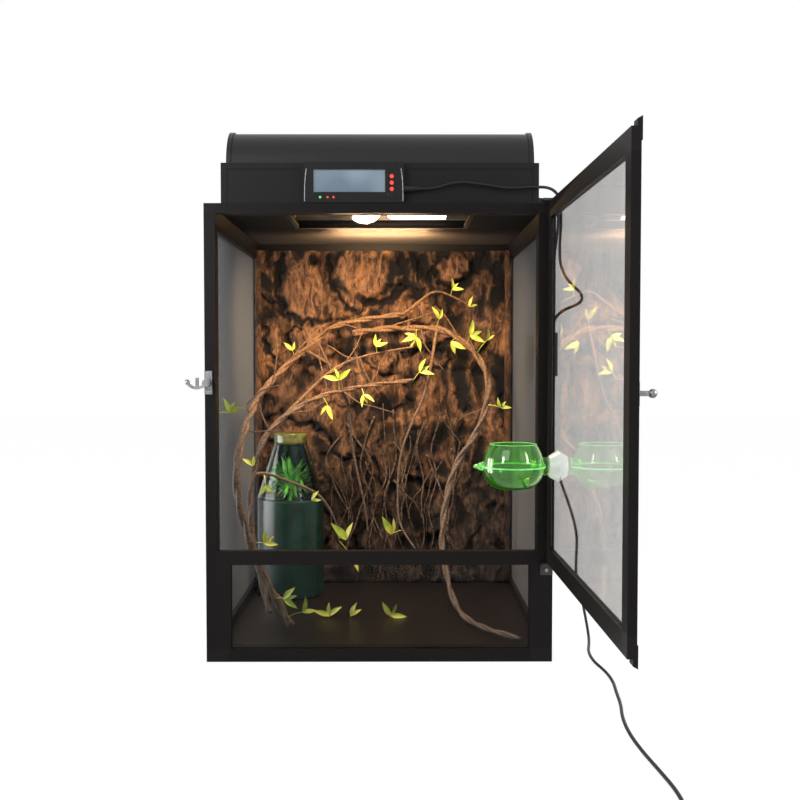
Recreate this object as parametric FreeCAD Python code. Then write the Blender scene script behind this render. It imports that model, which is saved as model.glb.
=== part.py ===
import FreeCAD
import Part

import math
import os

from FreeCAD import Vector

# A screen cage for a chameleon, in millimetres. +Z is up, +X is to the right of someone facing the door,
# and -Y points at that person. The origin is the centre of the base board's underside, on the table.
# The door is modelled closed and then swung to the open angle at which it rests.

# Cage
CAGE_WIDTH = 450.0
CAGE_DEPTH = 450.0
CAGE_HEIGHT = 594.0

# Frame profiles
PROFILE_WALL = 1.5
POST_DEPTH = 25.0
LATCH_POST_WIDTH = 14.0
HINGE_POST_WIDTH = 20.0
SIDE_FRAME_THICKNESS = 12.5
BOTTOM_RAIL_HEIGHT = 17.0
SIDE_BOTTOM_RAIL_HEIGHT = 24.0
FRONT_TOP_RAIL_HEIGHT = 13.0
DEEP_TOP_RAIL_HEIGHT = 31.0
FRONT_RAIL_DEPTH = 12.5
MID_RAIL_BOTTOM = 127.0
MID_RAIL_HEIGHT = 18.0
CORNER_WIDTH = 28.0
SPIGOT_LENGTH = 14.0
SPIGOT_CLEARANCE = 0.15
BASE_BOARD_THICKNESS = 12.0
BOARD_CLEARANCE = 0.2

# Sheets that stand in grooves of the profiles; each screen has a plain grid of openings for its mesh
SCREEN_THICKNESS = 1.0
SCREEN_RIM = 6.0
SCREEN_BAR = 3.0
SCREEN_OPENINGS = 11
LAMP_OPENING_MARGIN = 6.0
TOP_SCREEN_DROP = 4.5
PANE_THICKNESS = 3.0
GROOVE_DEPTH = 4.0
GROOVE_CLEARANCE = 0.15
LEFT_STILE_WIDTH = 18.0
RIGHT_STILE_WIDTH = 10.0

# Door
DOOR_THICKNESS = 9.0
DOOR_FRAME_WIDTH = 21.0
DOOR_STEP = 4.0
DOOR_OVERLAP = 1.0
DOOR_GAP = 2.0
DOOR_LATCH_MARGIN = 10.0
DOOR_OPEN_DEG = 91.0
HINGE_INSET = 4.0
PIN_RADIUS = 2.0
PIN_LENGTH = 13.0
PIN_CLEARANCE = 0.05
BRACKET_THICKNESS = 3.0
BRACKET_GAP = 1.0
BRACKET_WIDTH = 16.0
BRACKET_REACH = 20.0
LEAF_THICKNESS = 1.6
LEAF_HEIGHT = 16.0
TAB_HEIGHT = 21.0
TAB_WIDTH = 14.0
TAB_THICKNESS = 4.5
TAB_OVERHANG = 9.0
TAB_SLANT = 2.5
TAB_STRIP = 1.0
SCREW_HEAD_RADIUS = 2.2
SCREW_HEAD_HEIGHT = 1.0

# Latch and the stud it drops over
LATCH_HEIGHT = 364.0
LATCH_PLATE_WIDTH = 10.0
LATCH_PLATE_HEIGHT = 30.0
LATCH_PLATE_THICKNESS = 2.5
LATCH_SCREW_SPACING = 22.0
LATCH_PIVOT_INSET = 5.0
LATCH_PIVOT_RADIUS = 2.5
LATCH_PIVOT_CLEARANCE = 0.05
LATCH_HUB_RADIUS = 5.0
LATCH_BOSS_RADIUS = 3.5
LEVER_THICKNESS = 5.0
LEVER_STANDOFF = 4.0
LEVER_REACH = 24.3
LEVER_BAR = 3.6
LEVER_SAG = 6.5
LEVER_PRONG_OFFSET = 11.5
LEVER_PRONG_RISE = 13.0
LEVER_BALL_RADIUS = 3.4
LEVER_BALL_RISE = 1.0
STUD_OFFSET = 17.4
STUD_RADIUS = 2.5
STUD_PLATE_HEIGHT = 21.0
STUD_PLATE_WIDTH = 12.0
STUD_PLATE_THICKNESS = 2.0
STUD_BALL_RADIUS = 4.2
STUD_BALL_GAP = 1.5

# Feeding bowl on the door's pane
BOWL_FROM_HINGE = 60.0
BOWL_FROM_PANE = 55.0
BOWL_BOTTOM = 235.0
BOWL_HEIGHT = 55.0
BOWL_RADIUS = 37.5
BOWL_FOOT_RADIUS = 20.0
BOWL_MOUTH_RADIUS = 29.0
BOWL_WALL = 2.5
BOWL_RIDGE = 1.8
BOWL_BEAK = 11.0
BOWL_BEAK_RADIUS = 7.0
BOWL_NECK_RADIUS = 11.0
BOWL_LOWER_BULGE = 0.78
BOWL_LOWER_RISE = 0.4
BOWL_UPPER_BULGE = 0.72
BOWL_UPPER_RISE = 0.55
CUP_RADIUS = 20.0
CUP_DEPTH = 11.0

# Hood with its lamps
HOOD_SET_IN = 10.0
HOOD_FRONT_SET_BACK = 74.0
HOOD_DEPTH = 150.0
HOOD_BOX_HEIGHT = 65.0
HOOD_WALL = 2.5
PANEL_RECESS = 1.0
PANEL_MARGIN = 8.0
DOME_RADIUS = 53.0
DOME_WALL = 2.0
DOME_SET_IN = 4.0
CAP_THICKNESS = 6.0
CAP_RIM = 2.0
REFLECTOR_THICKNESS = 1.0
REFLECTOR_RADIUS = 57.0
REFLECTOR_GAP = 0.3
REFLECTOR_SET_IN = 4.0
LAMP_FOOT = 122.5
HOLDER_RADIUS = 19.0
LAMP_AXIS_HEIGHT = 20.0
BULB_NECK_RADIUS = 13.0
BULB_NECK_LENGTH = 76.0
BULB_RADIUS = 27.0
UVB_BASE_RADIUS = 22.0
UVB_BASE_LENGTH = 30.0
UVB_TUBE_RADIUS = 8.0
UVB_TUBE_LENGTH = 76.0
UVB_TUBE_SPREAD = 11.0

# Controller on the hood's front
CASE_WIDTH = 135.0
CASE_HEIGHT = 54.0
CASE_DEPTH = 12.0
CASE_CENTRE_X = -35.0
CASE_RISE = 10.0
CASE_WALL = 2.0
CASE_CORNER = 3.0
LCD_WIDTH = 96.0
LCD_HEIGHT = 30.0
LCD_SHIFT_X = -6.0
LCD_RISE = 14.0
LCD_LAP = 2.0
LCD_THICKNESS = 2.5
BOSS_RADIUS = 2.5
BOSS_INSET = 6.0
BOARD_THICKNESS = 1.6
BOARD_DEPTH_IN = 8.0
BUTTON_RADIUS = 2.6
BUTTON_CLEARANCE = 0.2
BUTTON_PROUD = 1.2
BUTTON_FLANGE = 1.0
BUTTON_FLANGE_GAP = 0.1
BUTTON_X = 51.0
BUTTON_TOP_RISE = 35.0
BUTTON_PITCH = 8.5
LIGHT_RADIUS = 1.6
LIGHT_RISE = 7.0
LIGHT_OFFSETS = (-45.0, -35.0, -27.0)

# Leads
LEAD_RADIUS = 2.0
CASE_LEAD_RISE = 19.0
HOOD_LEAD_SET_BACK = 51.0
HOOD_LEAD_RISE = 22.0
ADAPTER_FRONT_LEAD_DROP = 12.0
ADAPTER_TOP_LEAD_SHIFT = 16.0
GLAND_LENGTH = 20.0
GLAND_RADIUS = 4.6
GLAND_TIP_RADIUS = 2.9
ADAPTER_WIDTH = 36.0
ADAPTER_DEPTH = 60.0
ADAPTER_HEIGHT = 62.0
ADAPTER_BELOW_TOP = 224.0
ADAPTER_CENTRE_Y = -50.0
ADAPTER_ROUND = 4.0
SEAT_GAP = 0.3
FLOOR_GAP = 0.1
COIL_OUTER_RADIUS = 29.0
COIL_STEP = 4.6
COIL_TURNS = 3
COIL_CLIMB_ROOM = 0.6
COIL_CENTRE_Y = -760.0
COIL_ENTRY_X = 270.0
COIL_END_STRAIGHT = 5.0
COIL_TAIL = 32.0
PLUG_LENGTH = 36.0
PLUG_WIDTH = 26.0
PLUG_ROUND = 4.0
PLUG_PIN_RADIUS = 2.0
PLUG_PIN_LENGTH = 16.0
PLUG_PIN_SPACING = 13.0

# Furnishing
BARK_MARGIN = 1.0
BARK_TOP_GAP = 18.0
BARK_THIN = 12.0
BARK_THICK = 31.0
BARK_COLUMNS = 18
BARK_ROWS = 15
TANK_RADIUS = 53.5
TANK_WALL = 2.0
TANK_HEIGHT = 158.0
CONE_HEIGHT = 87.0
CONE_TOP_RADIUS = 26.5
CAP_HEIGHT = 17.0
TANK_FROM_LEFT = 62.5
TANK_FROM_BACK = 88.0
PLANT_STEM_RADIUS = 2.5
PLANT_CROWN_RADIUS = 5.0
PLANT_BLADE = 48.0
PLANT_BLADES = 7
MAIN_VINE_RADIUS = 6.5
SECOND_VINE_RADIUS = 5.0
RIGHT_VINE_RADIUS = 6.0
TWIG_RADIUS = 2.8
LEAF_BLADE_THICKNESS = 0.8
LEAF_STEM_RADIUS = 0.9
LEAF_BUD_SIZE = 3.2
LEAF_ROOT_OFFSET = 1.3
LEAF_ROOT_HALF = 0.35
LEAF_WIDTH_SHARE = 0.22

# Places worked out from those sizes
HALF_WIDTH = CAGE_WIDTH / 2
FRONT = -CAGE_DEPTH / 2
BACK = CAGE_DEPTH / 2
LEFT_WALL = -HALF_WIDTH + SIDE_FRAME_THICKNESS
RIGHT_WALL = HALF_WIDTH - SIDE_FRAME_THICKNESS
BACK_WALL = BACK - SIDE_FRAME_THICKNESS
FRONT_POST_BACK = FRONT + POST_DEPTH
BACK_POST_FRONT = BACK - POST_DEPTH
FRONT_RAIL_BACK = FRONT + FRONT_RAIL_DEPTH
LATCH_POST_EDGE = -HALF_WIDTH + LATCH_POST_WIDTH
HINGE_POST_EDGE = HALF_WIDTH - HINGE_POST_WIDTH
TOP_CORNER_BOTTOM = CAGE_HEIGHT - FRONT_TOP_RAIL_HEIGHT
DEEP_RAIL_BOTTOM = CAGE_HEIGHT - DEEP_TOP_RAIL_HEIGHT
MID_RAIL_TOP = MID_RAIL_BOTTOM + MID_RAIL_HEIGHT
WINDOW_LEFT = LATCH_POST_EDGE + LEFT_STILE_WIDTH
WINDOW_RIGHT = HINGE_POST_EDGE - RIGHT_STILE_WIDTH
FLOOR_TOP = BASE_BOARD_THICKNESS

DOOR_INNER = FRONT - DOOR_GAP
DOOR_OUTER = DOOR_INNER - DOOR_THICKNESS
DOOR_MIDDLE = (DOOR_INNER + DOOR_OUTER) / 2
DOOR_HINGE_EDGE = HALF_WIDTH
DOOR_FREE_EDGE = -HALF_WIDTH + DOOR_LATCH_MARGIN
DOOR_BOTTOM = MID_RAIL_BOTTOM + DOOR_STEP
DOOR_TOP = CAGE_HEIGHT + DOOR_OVERLAP
PIVOT = Vector(DOOR_HINGE_EDGE - HINGE_INSET, DOOR_MIDDLE, 0)

HOOD_LENGTH = CAGE_WIDTH - 2 * HOOD_SET_IN
HOOD_END = HOOD_LENGTH / 2
HOOD_FRONT = FRONT + HOOD_FRONT_SET_BACK
HOOD_BACK = HOOD_FRONT + HOOD_DEPTH
HOOD_MIDDLE = (HOOD_FRONT + HOOD_BACK) / 2
HOOD_BOTTOM = CAGE_HEIGHT
HOOD_TOP = HOOD_BOTTOM + HOOD_BOX_HEIGHT
CASE_FRONT = HOOD_FRONT - CASE_DEPTH
CASE_BOTTOM = HOOD_BOTTOM + CASE_RISE

LEAD_FLOOR = LEAD_RADIUS + FLOOR_GAP
COIL_CENTRE_X = COIL_ENTRY_X - COIL_OUTER_RADIUS
COIL_LAYER_RISE = COIL_STEP
ADAPTER_LEFT = HALF_WIDTH - SIDE_FRAME_THICKNESS / 2 + SCREEN_THICKNESS / 2 + SEAT_GAP
ADAPTER_MIDDLE = ADAPTER_LEFT + ADAPTER_WIDTH / 2
ADAPTER_BOTTOM = CAGE_HEIGHT - ADAPTER_BELOW_TOP
ADAPTER_TOP = ADAPTER_BOTTOM + ADAPTER_HEIGHT


def box(x0, x1, y0, y1, z0, z1):
    return Part.makeBox(x1 - x0, y1 - y0, z1 - z0, Vector(x0, y0, z0))


def profile(x0, x1, y0, y1, z0, z1, along):
    """An extruded rectangular tube that is open at both ends of the named axis."""
    w = PROFILE_WALL
    inset = {"x": (0, w, w), "y": (w, 0, w), "z": (w, w, 0)}[along]
    inner = box(
        x0 + inset[0], x1 - inset[0], y0 + inset[1], y1 - inset[1], z0 + inset[2], z1 - inset[2]
    )
    return box(x0, x1, y0, y1, z0, z1).cut(inner)


def deep_profile(x0, x1, y0, y1, z0, z1, web, along):
    """A tall tube with a level web inside, so that grooves above and below leave it in one piece."""
    w = PROFILE_WALL
    upper = profile(x0, x1, y0, y1, web, z1, along)
    lower = profile(x0, x1, y0, y1, z0, web + w, along)
    return fused([upper, lower])


def rod(start, end, radius):
    return Part.makeCylinder(radius, (end - start).Length, start, end - start)


def taper(start, end, radius, end_radius):
    return Part.makeCone(radius, end_radius, (end - start).Length, start, end - start)


def fused(shapes):
    return shapes[0].multiFuse(shapes[1:]).removeSplitter()


def rounded(shape, radius, direction):
    """Rounds the straight edges of a block that run along one axis."""
    edges = [
        e for e in shape.Edges
        if abs(abs(e.tangentAt(e.FirstParameter).dot(direction)) - 1) < 1e-6
    ]
    return shape.makeFillet(radius, edges)


def save(name, shape):
    solids = shape.Solids
    if not shape.isValid() or not solids:
        raise ValueError(f"{name} is not a valid solid")
    shape.exportStep(f"parts/{name}.step")
    print(f"{name}: {len(solids)} solid(s), {sum(s.Volume for s in solids) / 1000:.1f} cm3")


def save_group(name, shapes):
    save(name, Part.makeCompound(shapes))


# Sheets: screens and the lower pane, with the grooves that hold them

class Sheet:
    """A flat sheet given by its corners, with the larger slot that a profile has for it."""

    def __init__(self, x0, x1, y0, y1, z0, z1):
        self.solid = box(x0, x1, y0, y1, z0, z1)
        c = GROOVE_CLEARANCE
        self.slot = box(x0 - c, x1 + c, y0 - c, y1 + c, z0 - c, z1 + c)

    def screen(self):
        """The sheet with its openings: one box per opening, cut right through the thin axis."""
        spans = []
        bounds = self.solid.BoundBox
        for low, high in (
            (bounds.XMin, bounds.XMax), (bounds.YMin, bounds.YMax), (bounds.ZMin, bounds.ZMax)
        ):
            if high - low > SCREEN_THICKNESS * 2:
                spans.append(openings_along(low + SCREEN_RIM, high - SCREEN_RIM))
            else:
                spans.append([(low, high)])
        holes = [box(*x, *y, *z) for x in spans[0] for y in spans[1] for z in spans[2]]
        return self.solid.cut(Part.makeCompound(holes))


def openings_along(low, high):
    """The spans of the openings in one row, with a bar between each pair."""
    pitch = (high - low + SCREEN_BAR) / SCREEN_OPENINGS
    starts = [low + pitch * i for i in range(SCREEN_OPENINGS)]
    return [(start, start + pitch - SCREEN_BAR) for start in starts]


def grooved(shape, *sheets):
    for sheet in sheets:
        shape = shape.cut(sheet.slot)
    return shape


def make_sheets():
    half = SCREEN_THICKNESS / 2
    side_middle = HALF_WIDTH - SIDE_FRAME_THICKNESS / 2
    g = GROOVE_DEPTH
    sides = [
        Sheet(
            sign * side_middle - half, sign * side_middle + half,
            FRONT_POST_BACK - g, BACK_POST_FRONT + g,
            SIDE_BOTTOM_RAIL_HEIGHT - g, DEEP_RAIL_BOTTOM + g,
        )
        for sign in (-1, 1)
    ]
    back_middle = BACK - SIDE_FRAME_THICKNESS / 2
    back = Sheet(
        LEFT_WALL - g, RIGHT_WALL + g, back_middle - half, back_middle + half,
        BOTTOM_RAIL_HEIGHT - g, DEEP_RAIL_BOTTOM + g,
    )
    top_middle = CAGE_HEIGHT - TOP_SCREEN_DROP
    top = Sheet(
        LEFT_WALL - g, RIGHT_WALL + g, FRONT_RAIL_BACK - g, BACK_WALL + g,
        top_middle - half, top_middle + half,
    )
    pane_middle = FRONT + FRONT_RAIL_DEPTH / 2
    pane = Sheet(
        WINDOW_LEFT - g, WINDOW_RIGHT + g,
        pane_middle - PANE_THICKNESS / 2, pane_middle + PANE_THICKNESS / 2,
        BOTTOM_RAIL_HEIGHT - g, MID_RAIL_BOTTOM + g,
    )
    return sides, back, top, pane


SIDE_SCREENS, BACK_SCREEN, TOP_SCREEN, WINDOW = make_sheets()
ALL_SHEETS = (*SIDE_SCREENS, BACK_SCREEN, TOP_SCREEN, WINDOW)


# Frame

def post_spans():
    """The x and y spans of the four posts: latch, hinge, back left and back right."""
    return (
        (-HALF_WIDTH, LATCH_POST_EDGE, FRONT, FRONT_POST_BACK),
        (HINGE_POST_EDGE, HALF_WIDTH, FRONT, FRONT_POST_BACK),
        (-HALF_WIDTH, LEFT_WALL, BACK_POST_FRONT, BACK),
        (RIGHT_WALL, HALF_WIDTH, BACK_POST_FRONT, BACK),
    )


def make_posts():
    posts = [
        grooved(profile(*span, BOTTOM_RAIL_HEIGHT, TOP_CORNER_BOTTOM, "z"), *ALL_SHEETS)
        for span in post_spans()
    ]
    save_group("front_posts", posts[:2])
    save_group("back_posts", posts[2:])


def plug_in(x0, x1, y0, y1, z0, z1, along):
    """A corner's spigot: the inside of a profile, less the clearance, along one axis."""
    w = PROFILE_WALL + SPIGOT_CLEARANCE
    inset = {"x": (0, w, w), "y": (w, 0, w), "z": (w, w, 0)}[along]
    return box(
        x0 + inset[0], x1 - inset[0], y0 + inset[1], y1 - inset[1], z0 + inset[2], z1 - inset[2]
    )


def make_bottom_corners():
    corners = []
    h = BOTTOM_RAIL_HEIGHT
    for px0, px1, y0, y1 in post_spans():
        left = px0 < 0
        x0 = -HALF_WIDTH if left else HALF_WIDTH - CORNER_WIDTH
        x1 = x0 + CORNER_WIDTH
        block = box(x0, x1, y0, y1, 0, h)
        up = plug_in(px0, px1, y0, y1, h, h + SPIGOT_LENGTH, "z")
        sx0, sx1 = (x1, x1 + SPIGOT_LENGTH) if left else (x0 - SPIGOT_LENGTH, x0)
        across = plug_in(sx0, sx1, y0, y1, 0, h, "x")
        rx0, rx1 = (-HALF_WIDTH, LEFT_WALL) if left else (RIGHT_WALL, HALF_WIDTH)
        sy0, sy1 = (y1, y1 + SPIGOT_LENGTH) if y0 < 0 else (y0 - SPIGOT_LENGTH, y0)
        along = plug_in(rx0, rx1, sy0, sy1, 0, h, "y")
        corners.append(grooved(fused([block, up, across, along]), *ALL_SHEETS))
    save_group("bottom_corners", corners)


def make_top_corners():
    corners = []
    z0, z1 = TOP_CORNER_BOTTOM, CAGE_HEIGHT
    for x0, x1, y0, y1 in post_spans():
        left = x0 < 0
        front = y0 < 0
        block = box(x0, x1, y0, y1, z0, z1)
        down = plug_in(x0, x1, y0, y1, z0 - SPIGOT_LENGTH, z0, "z")
        sx0, sx1 = (x1, x1 + SPIGOT_LENGTH) if left else (x0 - SPIGOT_LENGTH, x0)
        ry0, ry1 = (FRONT, FRONT_RAIL_BACK) if front else (BACK_WALL, BACK)
        across = plug_in(sx0, sx1, ry0, ry1, z0, z1, "x")
        rx0, rx1 = (-HALF_WIDTH, LEFT_WALL) if left else (RIGHT_WALL, HALF_WIDTH)
        sy0, sy1 = (y1, y1 + SPIGOT_LENGTH) if front else (y0 - SPIGOT_LENGTH, y0)
        along = plug_in(rx0, rx1, sy0, sy1, z0, z1, "y")
        corners.append(grooved(fused([block, down, across, along]), *ALL_SHEETS))
    save_group("top_corners", corners)


def make_rails():
    bottom_edge = HALF_WIDTH - CORNER_WIDTH
    front_bottom = profile(
        -bottom_edge, bottom_edge, FRONT, FRONT_POST_BACK, 0, BOTTOM_RAIL_HEIGHT, "x"
    )
    save("front_bottom_rail", grooved(front_bottom, *ALL_SHEETS))
    back_bottom = profile(
        -bottom_edge, bottom_edge, BACK_POST_FRONT, BACK, 0, BOTTOM_RAIL_HEIGHT, "x"
    )
    save("back_bottom_rail", grooved(back_bottom, *ALL_SHEETS))
    middle = profile(
        LATCH_POST_EDGE, HINGE_POST_EDGE, FRONT, FRONT_RAIL_BACK, MID_RAIL_BOTTOM, MID_RAIL_TOP, "x"
    )
    save("front_mid_rail", grooved(middle, *ALL_SHEETS))
    front_top = profile(
        LATCH_POST_EDGE, HINGE_POST_EDGE, FRONT, FRONT_RAIL_BACK, TOP_CORNER_BOTTOM, CAGE_HEIGHT, "x"
    )
    save("front_top_rail", grooved(front_top, *ALL_SHEETS))
    web = TOP_CORNER_BOTTOM
    back_top = deep_profile(
        LEFT_WALL, RIGHT_WALL, BACK_WALL, BACK, DEEP_RAIL_BOTTOM, CAGE_HEIGHT, web, "x"
    )
    save("back_top_rail", grooved(back_top, *ALL_SHEETS))
    walls = ((-HALF_WIDTH, LEFT_WALL), (RIGHT_WALL, HALF_WIDTH))
    side_bottom = [
        profile(x0, x1, FRONT_POST_BACK, BACK_POST_FRONT, 0, SIDE_BOTTOM_RAIL_HEIGHT, "y")
        for x0, x1 in walls
    ]
    save_group("side_bottom_rails", [grooved(r, *ALL_SHEETS) for r in side_bottom])
    side_top = [
        deep_profile(x0, x1, FRONT_POST_BACK, BACK_POST_FRONT, DEEP_RAIL_BOTTOM, CAGE_HEIGHT, web, "y")
        for x0, x1 in walls
    ]
    save_group("side_top_rails", [grooved(r, *ALL_SHEETS) for r in side_top])


def make_base_and_window():
    c = BOARD_CLEARANCE
    board = box(
        LEFT_WALL + c, RIGHT_WALL - c, FRONT_POST_BACK + c, BACK_POST_FRONT - c, 0, FLOOR_TOP
    )
    save("base_board", board)
    stiles = [
        box(x0, x1, FRONT, FRONT_RAIL_BACK, BOTTOM_RAIL_HEIGHT, MID_RAIL_BOTTOM)
        for x0, x1 in ((LATCH_POST_EDGE, WINDOW_LEFT), (WINDOW_RIGHT, HINGE_POST_EDGE))
    ]
    save_group("window_stiles", [grooved(s, WINDOW, *SIDE_SCREENS).cut(corner_room()) for s in stiles])
    save("window_glass", WINDOW.solid)
    save_group("side_screens", [s.screen() for s in SIDE_SCREENS])
    save("back_screen", BACK_SCREEN.screen())
    save("top_screen", lamp_screen())
    return board


def lamp_screen():
    """The top screen, with one large opening in a plain rim where the lamps shine through."""
    sheet = TOP_SCREEN.solid.BoundBox
    reach = LAMP_FOOT
    front = HOOD_FRONT + LAMP_OPENING_MARGIN
    back = HOOD_BACK - LAMP_OPENING_MARGIN
    r = SCREEN_RIM
    rim = box(-reach - r, reach + r, front - r, back + r, sheet.ZMin, sheet.ZMax)
    opening = box(-reach, reach, front, back, sheet.ZMin, sheet.ZMax)
    return fused([TOP_SCREEN.screen(), rim]).cut(opening)


def corner_room():
    """The space of the front bottom rail and corners, which the window's stiles stand on."""
    return box(-HALF_WIDTH, HALF_WIDTH, FRONT, FRONT_POST_BACK, 0, BOTTOM_RAIL_HEIGHT)


# Door

def opened(shape):
    """Swings a piece of the closed door to the angle at which the door rests."""
    turned = shape.copy()
    turned.rotate(PIVOT, Vector(0, 0, 1), DOOR_OPEN_DEG)
    return turned


def make_door():
    w = DOOR_FRAME_WIDTH
    x0, x1 = DOOR_FREE_EDGE, DOOR_HINGE_EDGE
    y0, y1 = DOOR_OUTER, DOOR_INNER
    z0, z1 = DOOR_BOTTOM, DOOR_TOP
    half = PANE_THICKNESS / 2
    g = GROOVE_DEPTH
    pane = Sheet(
        x0 + w - g, x1 - w + g, DOOR_MIDDLE - half, DOOR_MIDDLE + half, z0 + w - g, z1 - w + g
    )
    stiles = [
        profile(a, b, y0, y1, z0 + w, z1 - w, "z") for a, b in ((x0, x0 + w), (x1 - w, x1))
    ]
    save_group("door_stiles", [opened(grooved(s, pane)) for s in stiles])
    rails = [
        profile(x0 + w, x1 - w, y0, y1, a, b, "x") for a, b in ((z0, z0 + w), (z1 - w, z1))
    ]
    save_group("door_rails", [opened(grooved(r, pane)) for r in rails])
    corners = []
    bore_radius = PIN_RADIUS + PIN_CLEARANCE
    for a, b, hinge in ((x0, x0 + w, False), (x1 - w, x1, True)):
        for c, d, top in ((z0, z0 + w, False), (z1 - w, z1, True)):
            block = box(a, b, y0, y1, c, d)
            e, f = (c - SPIGOT_LENGTH, c) if top else (d, d + SPIGOT_LENGTH)
            upright = plug_in(a, b, y0, y1, e, f, "z")
            m, n = (a - SPIGOT_LENGTH, a) if hinge else (b, b + SPIGOT_LENGTH)
            level = plug_in(m, n, y0, y1, c, d, "x")
            corner = grooved(fused([block, upright, level]), pane)
            if hinge:
                depth = PIN_LENGTH + BRACKET_GAP
                start = Vector(PIVOT.x, PIVOT.y, d - depth if top else c)
                corner = corner.cut(rod(start, start + Vector(0, 0, depth), bore_radius))
            corners.append(opened(corner))
    save_group("door_corners", corners)
    save("door_glass", opened(pane.solid))


def make_door_fittings():
    y = DOOR_OUTER
    x0, x1 = DOOR_FREE_EDGE, DOOR_FREE_EDGE + TAB_WIDTH
    tabs = []
    for end, out in ((DOOR_TOP, 1), (DOOR_BOTTOM, -1)):
        tip = end + out * TAB_OVERHANG
        inner = y - TAB_STRIP + TAB_THICKNESS
        outline = [
            Vector(x0, y, end), Vector(x0, y, tip - out * TAB_HEIGHT),
            Vector(x0, y - TAB_STRIP, tip - out * TAB_HEIGHT), Vector(x0, y - TAB_STRIP, tip),
            Vector(x0, inner, tip - out * TAB_SLANT), Vector(x0, inner, end), Vector(x0, y, end),
        ]
        tab = Part.Face(Part.makePolygon(outline)).extrude(Vector(x1 - x0, 0, 0))
        tabs.append(opened(tab))
    save_group("door_tabs", tabs)
    stud_x = -HALF_WIDTH + LATCH_PIVOT_INSET + STUD_OFFSET
    plate = box(
        stud_x - STUD_PLATE_WIDTH / 2, stud_x + STUD_PLATE_WIDTH / 2, y - STUD_PLATE_THICKNESS, y,
        LATCH_HEIGHT - STUD_PLATE_HEIGHT / 2, LATCH_HEIGHT + STUD_PLATE_HEIGHT / 2,
    )
    ball_y = lever_front() - STUD_BALL_GAP - STUD_BALL_RADIUS
    stem = rod(Vector(stud_x, y, LATCH_HEIGHT), Vector(stud_x, ball_y, LATCH_HEIGHT), STUD_RADIUS)
    ball = Part.makeSphere(STUD_BALL_RADIUS, Vector(stud_x, ball_y, LATCH_HEIGHT))
    save("door_knob", opened(fused([plate, stem, ball])))


def make_hinges():
    """Brackets above and below the door, each with the pin that the door turns on."""
    x0, x1 = HALF_WIDTH - BRACKET_WIDTH, HALF_WIDTH
    y0 = DOOR_OUTER - LEAF_THICKNESS
    t = BRACKET_THICKNESS
    top_z = DOOR_TOP + BRACKET_GAP
    ear = box(x0, x1, y0, FRONT, top_z, top_z + t)
    foot = box(x0, x1, FRONT, FRONT + BRACKET_REACH, CAGE_HEIGHT, top_z + t)
    low_z = DOOR_BOTTOM - BRACKET_GAP
    low_ear = box(x0, x1, y0, FRONT, low_z - t, low_z)
    leaf = box(x0, x1, FRONT - LEAF_THICKNESS, FRONT, low_z - LEAF_HEIGHT, low_z)
    high = Vector(PIVOT.x, PIVOT.y, top_z)
    low = Vector(PIVOT.x, PIVOT.y, low_z)
    down = Vector(0, 0, -PIN_LENGTH)
    high_pin = rod(high, high + down, PIN_RADIUS)
    low_pin = rod(low, low - down, PIN_RADIUS)
    save_group("hinge_brackets", [fused([ear, foot, high_pin]), fused([low_ear, leaf, low_pin])])
    middle_x = (x0 + x1) / 2
    foot_top = Vector(middle_x, FRONT + BRACKET_REACH / 2, top_z + t)
    leaf_face = Vector(
        middle_x, FRONT - LEAF_THICKNESS, low_z - t - (LEAF_HEIGHT - t) / 2
    )
    return [(foot_top, Vector(0, 0, 1)), (leaf_face, Vector(0, -1, 0))]


def lever_back():
    return DOOR_OUTER - LEVER_STANDOFF


def lever_front():
    return lever_back() - LEVER_THICKNESS


def bent_bar(start, low, end, width, depth):
    """A flat bar whose middle line is the arc through three places."""
    centre = Part.Arc(start, low, end).toShape().Curve.Center

    def side(place, by):
        return place + (place - centre).normalize() * by

    half = width / 2
    edges = [
        Part.Arc(side(start, half), side(low, half), side(end, half)).toShape(),
        Part.LineSegment(side(end, half), side(end, -half)).toShape(),
        Part.Arc(side(end, -half), side(low, -half), side(start, -half)).toShape(),
        Part.LineSegment(side(start, -half), side(start, half)).toShape(),
    ]
    return Part.Face(Part.Wire(edges)).extrude(Vector(0, depth, 0))


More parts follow.
